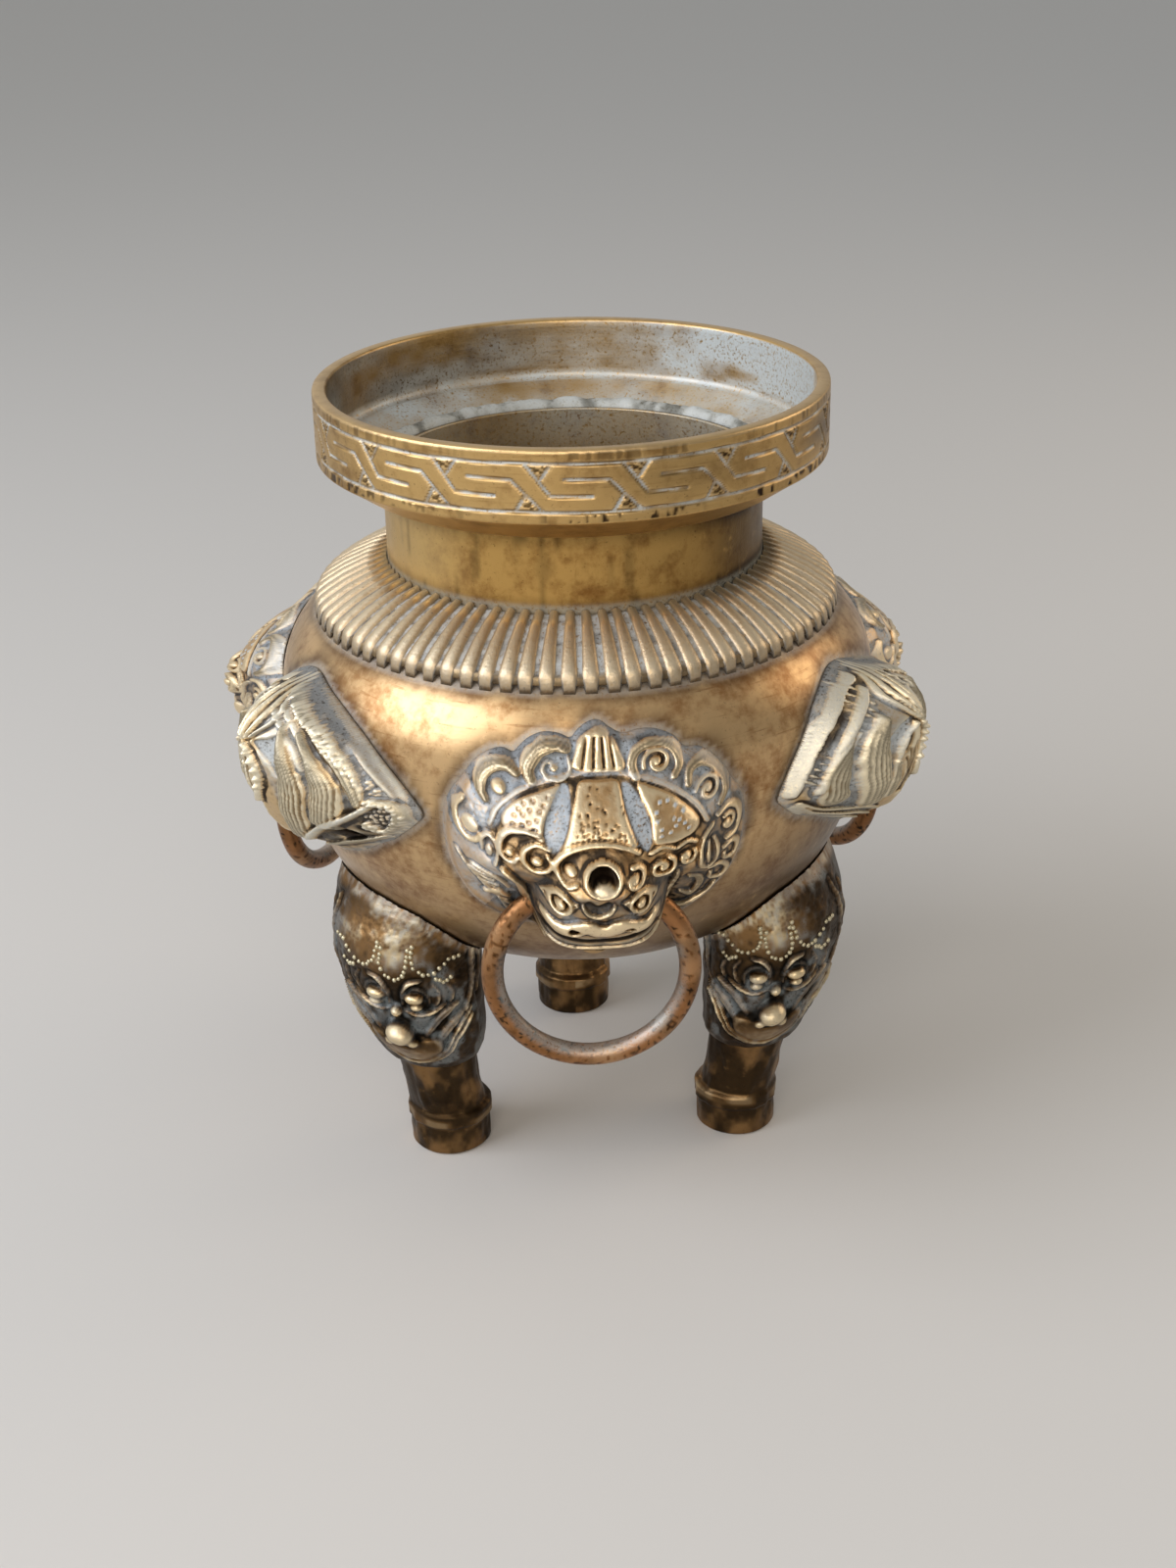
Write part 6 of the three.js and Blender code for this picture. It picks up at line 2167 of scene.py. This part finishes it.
@dataclass(frozen=True)
class Layout:
    """Heights and angles that more than one piece is set by, in millimetres and degrees."""

    mouth_z: float = BOWL.mouth_z
    collar_radius: float = 52.3
    collar_top_z: float = BOWL.mouth_z + 5.4
    gallery_floor_z: float = BOWL.mouth_z + 22.4
    gallery_foot_z: float = BOWL.mouth_z + 26.7
    band_foot_z: float = BOWL.mouth_z + 25.7
    gallery_top_z: float = BOWL.mouth_z + 39.3
    ring_centre_z: float = 64.608
    ring_room_radius: float = 21.84
    jaw_inner_reach: float = 71.5
    lug_radius: float = 4.0
    lug_z: float = 76.668
    ring_shift: float = -1.5
    mask_turns: dict[str, float] = field(
        default_factory=lambda: {"front": 0, "back_left": -115, "back_right": 118})
    leg_turns: dict[str, float] = field(default_factory=lambda: {"left": -58.2, "right": 61.8, "back": 181.8})
    face_twists: dict[str, float] = field(default_factory=lambda: {"left": 40, "right": -60, "back": 0})

    @property
    def collar_edge_z(self) -> float:
        """Height of the bowl's shoulder under the collar's outer edge."""
        share = (self.collar_radius - BOWL.mouth_radius) / (BOWL.radius - BOWL.mouth_radius)
        return BOWL.waist_z + BOWL.shoulder_height * math.sqrt(1 - share**2)

    def _bar(self, radius: float, reaches: tuple[float, float], z: float, turn: float,
             sides: int) -> bpy.types.Object:
        """Makes a round bar that points outward, in line with a ring's middle.

        Args:
            radius: Its radius.
            reaches: How far from the bowl's axis it starts and ends.
            z: The height of its middle.
            turn: Its angle from the front, in degrees.
            sides: Corners round it.

        Returns:
            The bar.
        """
        a = np.linspace(0, math.tau, sides, endpoint=False)
        across, up = self.ring_shift + radius * np.cos(a), z + radius * np.sin(a)
        rings = [turned_place(across, np.full(sides, reach), up, turn) for reach in reaches]
        faces = [[i, (i + 1) % sides, sides + (i + 1) % sides, sides + i] for i in range(sides)]
        faces += [list(range(sides))[::-1], list(range(sides, 2 * sides))]
        return mesh_piece("tool", np.vstack(rings), [face[::-1] for face in faces], {})

    def _cut(self, piece: bpy.types.Object, tool: bpy.types.Object, operation: str) -> None:
        """Cuts a tool out of a piece, or joins it on, and removes the tool.

        Args:
            piece: The piece.
            tool: The tool.
            operation: What the boolean modifier does.
        """
        modifier = piece.modifiers.new(operation, "BOOLEAN")
        modifier.operation = operation
        modifier.solver = "MANIFOLD"
        modifier.object = tool
        settle(piece)
        mesh = tool.data
        bpy.data.objects.remove(tool)
        bpy.data.meshes.remove(mesh)

    def open_ring_room(self, mask: bpy.types.Object, turn: float) -> None:
        """Opens the room behind a mask's jaw and sets the bar in it that the ring hangs on.

        Args:
            mask: The mask.
            turn: Its angle from the front, in degrees.
        """
        jaw, lug = self.jaw_inner_reach, self.lug_radius
        room = self._bar(self.ring_room_radius, (20, jaw), self.ring_centre_z, turn, 96)
        self._cut(mask, room, "DIFFERENCE")
        inner = float(BOWL.reach_at(np.array(0.0), np.array(self.lug_z + lug))) + BOWL.seam
        slim = 0.75 * lug
        bar = self._bar(slim, (inner, jaw + 2), self.lug_z + lug - slim, turn, 48)
        self._cut(mask, bar, "UNION")

    def fit_to_bowl(self, leg: bpy.types.Object) -> None:
        """Hollows the top of a leg to fit the bowl.

        Args:
            leg: The leg.
        """
        outside = BOWL.outline(-BOWL.seam, 48, 20)
        closed = np.vstack([outside, [[0, outside[-1, 1]]]])
        tool = Lathe(closed, 256).piece("tool", {})
        self._cut(leg, tool, "DIFFERENCE")


LAYOUT = Layout()


@dataclass(frozen=True)
class Studio:
    """The camera, the pale floor and the soft light."""

    distance: float = 405.9
    height: float = 266.5
    pitch: float = 0.444
    yaw: float = 0.004
    roll: float = -0.021
    swing: float = -2.6
    lens: float = 48.906
    floor_half: float = 6.0

    def camera(self) -> None:
        """Sets the camera where the photograph was taken."""
        cos_p, sin_p = math.cos(self.pitch), math.sin(self.pitch)
        cos_y, sin_y = math.cos(self.yaw), math.sin(self.yaw)
        forward = Vector((sin_y * cos_p, cos_y * cos_p, -sin_p))
        right = Vector((cos_y, -sin_y, 0))
        up = right.cross(forward)
        cos_r, sin_r = math.cos(self.roll), math.sin(self.roll)
        right, up = cos_r * right + sin_r * up, cos_r * up - sin_r * right
        turn = Matrix.Rotation(math.radians(self.swing), 3, "Z")
        place = turn @ Vector((0, -self.distance, self.height)) + Vector((AXIS.x, AXIS.y, 0))
        axes = Matrix((turn @ right, turn @ up, -(turn @ forward))).transposed()
        data = bpy.data.cameras.new("camera")
        data.lens = self.lens
        data.sensor_width = 36
        data.clip_start = 0.01
        camera = bpy.data.objects.new("camera", data)
        camera.matrix_world = Matrix.Translation(place * MM) @ axes.to_4x4()
        bpy.context.scene.collection.objects.link(camera)
        bpy.context.scene.camera = camera

    def floor(self) -> None:
        """Lays the plain pale floor."""
        half = self.floor_half
        corners = [(-half, -half, 0), (half, -half, 0), (half, half, 0), (-half, half, 0)]
        mesh = bpy.data.meshes.new("floor")
        mesh.from_pydata(corners, [], [(0, 1, 2, 3)])
        floor = bpy.data.objects.new("floor", mesh)
        bpy.context.scene.collection.objects.link(floor)
        # Matt pale paint: keeps the object's soft shadow
        paint = bpy.data.materials.new("matt_paint")
        paint.use_nodes = True
        shader = paint.node_tree.nodes["Principled BSDF"]
        shader.inputs["Base Color"].default_value = srgb("d8d4cd")
        shader.inputs["Roughness"].default_value = 0.8
        mesh.materials.append(paint)

    def world(self) -> None:
        """Fills the room with soft light, and shows it pale to the camera and in the metal."""
        world = bpy.data.worlds.new("studio")
        bpy.context.scene.world = world
        world.use_nodes = True
        tree = world.node_tree
        tree.nodes.clear()
        seen = add(tree, "ShaderNodeLightPath")
        glossy = add(tree, "ShaderNodeMath",
                     {0: seen.outputs["Is Camera Ray"], 1: seen.outputs["Is Glossy Ray"]},
                     operation="MAXIMUM")
        shown = add(tree, "ShaderNodeMath", {0: glossy.outputs[0], 1: seen.outputs["Is Transmission Ray"]},
                    operation="MAXIMUM")
        light = add(tree, "ShaderNodeBackground", {"Color": srgb("dfe3e8"), "Strength": 0.5})
        ray = add(tree, "ShaderNodeTexCoord").outputs["Generated"]
        across = add(tree, "ShaderNodeSeparateXYZ", {0: ray}).outputs["X"]
        span = {"Value": across, "From Min": -0.7, "From Max": 0.9, "To Min": 1.0, "To Max": 0.42}
        level = add(tree, "ShaderNodeMapRange", span, interpolation_type="SMOOTHSTEP")
        pale = add(tree, "ShaderNodeBackground", {"Color": srgb("dcdad6"), "Strength": level.outputs[0]})
        mixed = add(tree, "ShaderNodeMixShader",
                    {0: shown.outputs[0], 1: light.outputs[0], 2: pale.outputs[0]})
        add(tree, "ShaderNodeOutputWorld", {"Surface": mixed.outputs[0]})

    def lamp(self, name: str, place: tuple[float, float, float], size: float, watts: float,
             colour: str) -> None:
        """Hangs a square soft lamp that faces the bowl.

        Args:
            name: Its name.
            place: Where it hangs, in metres.
            size: The length of its sides.
            watts: Its power.
            colour: Its colour.
        """
        data = bpy.data.lights.new(name, "AREA")
        data.size = size
        data.energy = watts
        data.color = srgb(colour)[:3]
        lamp = bpy.data.objects.new(name, data)
        aim = Vector((0, 0, 0.09)) - Vector(place)
        facing = aim.to_track_quat("-Z", "Y").to_matrix().to_4x4()
        lamp.matrix_world = Matrix.Translation(Vector(place)) @ facing
        bpy.context.scene.collection.objects.link(lamp)

    def light(self) -> None:
        """Hangs the lamps: a cool window on the left, and a warm weak one on the right."""
        self.world()
        self.lamp("window", (-0.85, -0.3, 0.7), 0.85, 8.8, "eef3ff")
        self.lamp("front_fill", (-0.15, -1.0, 0.6), 0.7, 4, "fff4e6")
        self.lamp("right_fill", (0.85, 0.2, 0.45), 0.5, 1.5, "ffe9cf")


def main() -> None:
    """Builds the burner in order, from the camera to the feet."""
    logging.basicConfig(level=logging.INFO, format="%(name)s %(message)s")
    bpy.context.scene.view_settings.view_transform = "Standard"
    studio = Studio()
    studio.camera()
    studio.floor()
    studio.light()
    polished, turned, cast = POLISHED.build(), TURNED.build(), CAST.build()
    Bowl(polished).build()
    Neck(STAINED.build()).build()
    worn = WORN.build()
    Collar(worn).build()
    Gallery(turned, SOLDERED.build()).build()
    coppery = COPPERY.build()
    for place, turn in LAYOUT.mask_turns.items():
        LionMask(place, turn, cast).build()
        LooseRing(place, turn, coppery).build()
    darkened, pearled = DARKENED.build(), PEARLED.build()
    for place, turn in LAYOUT.leg_turns.items():
        BeastBoss(place, turn, worn).build()
        Leg(place, turn, LAYOUT.face_twists[place], darkened, pearled).build()


if __name__ == "__main__":
    main()
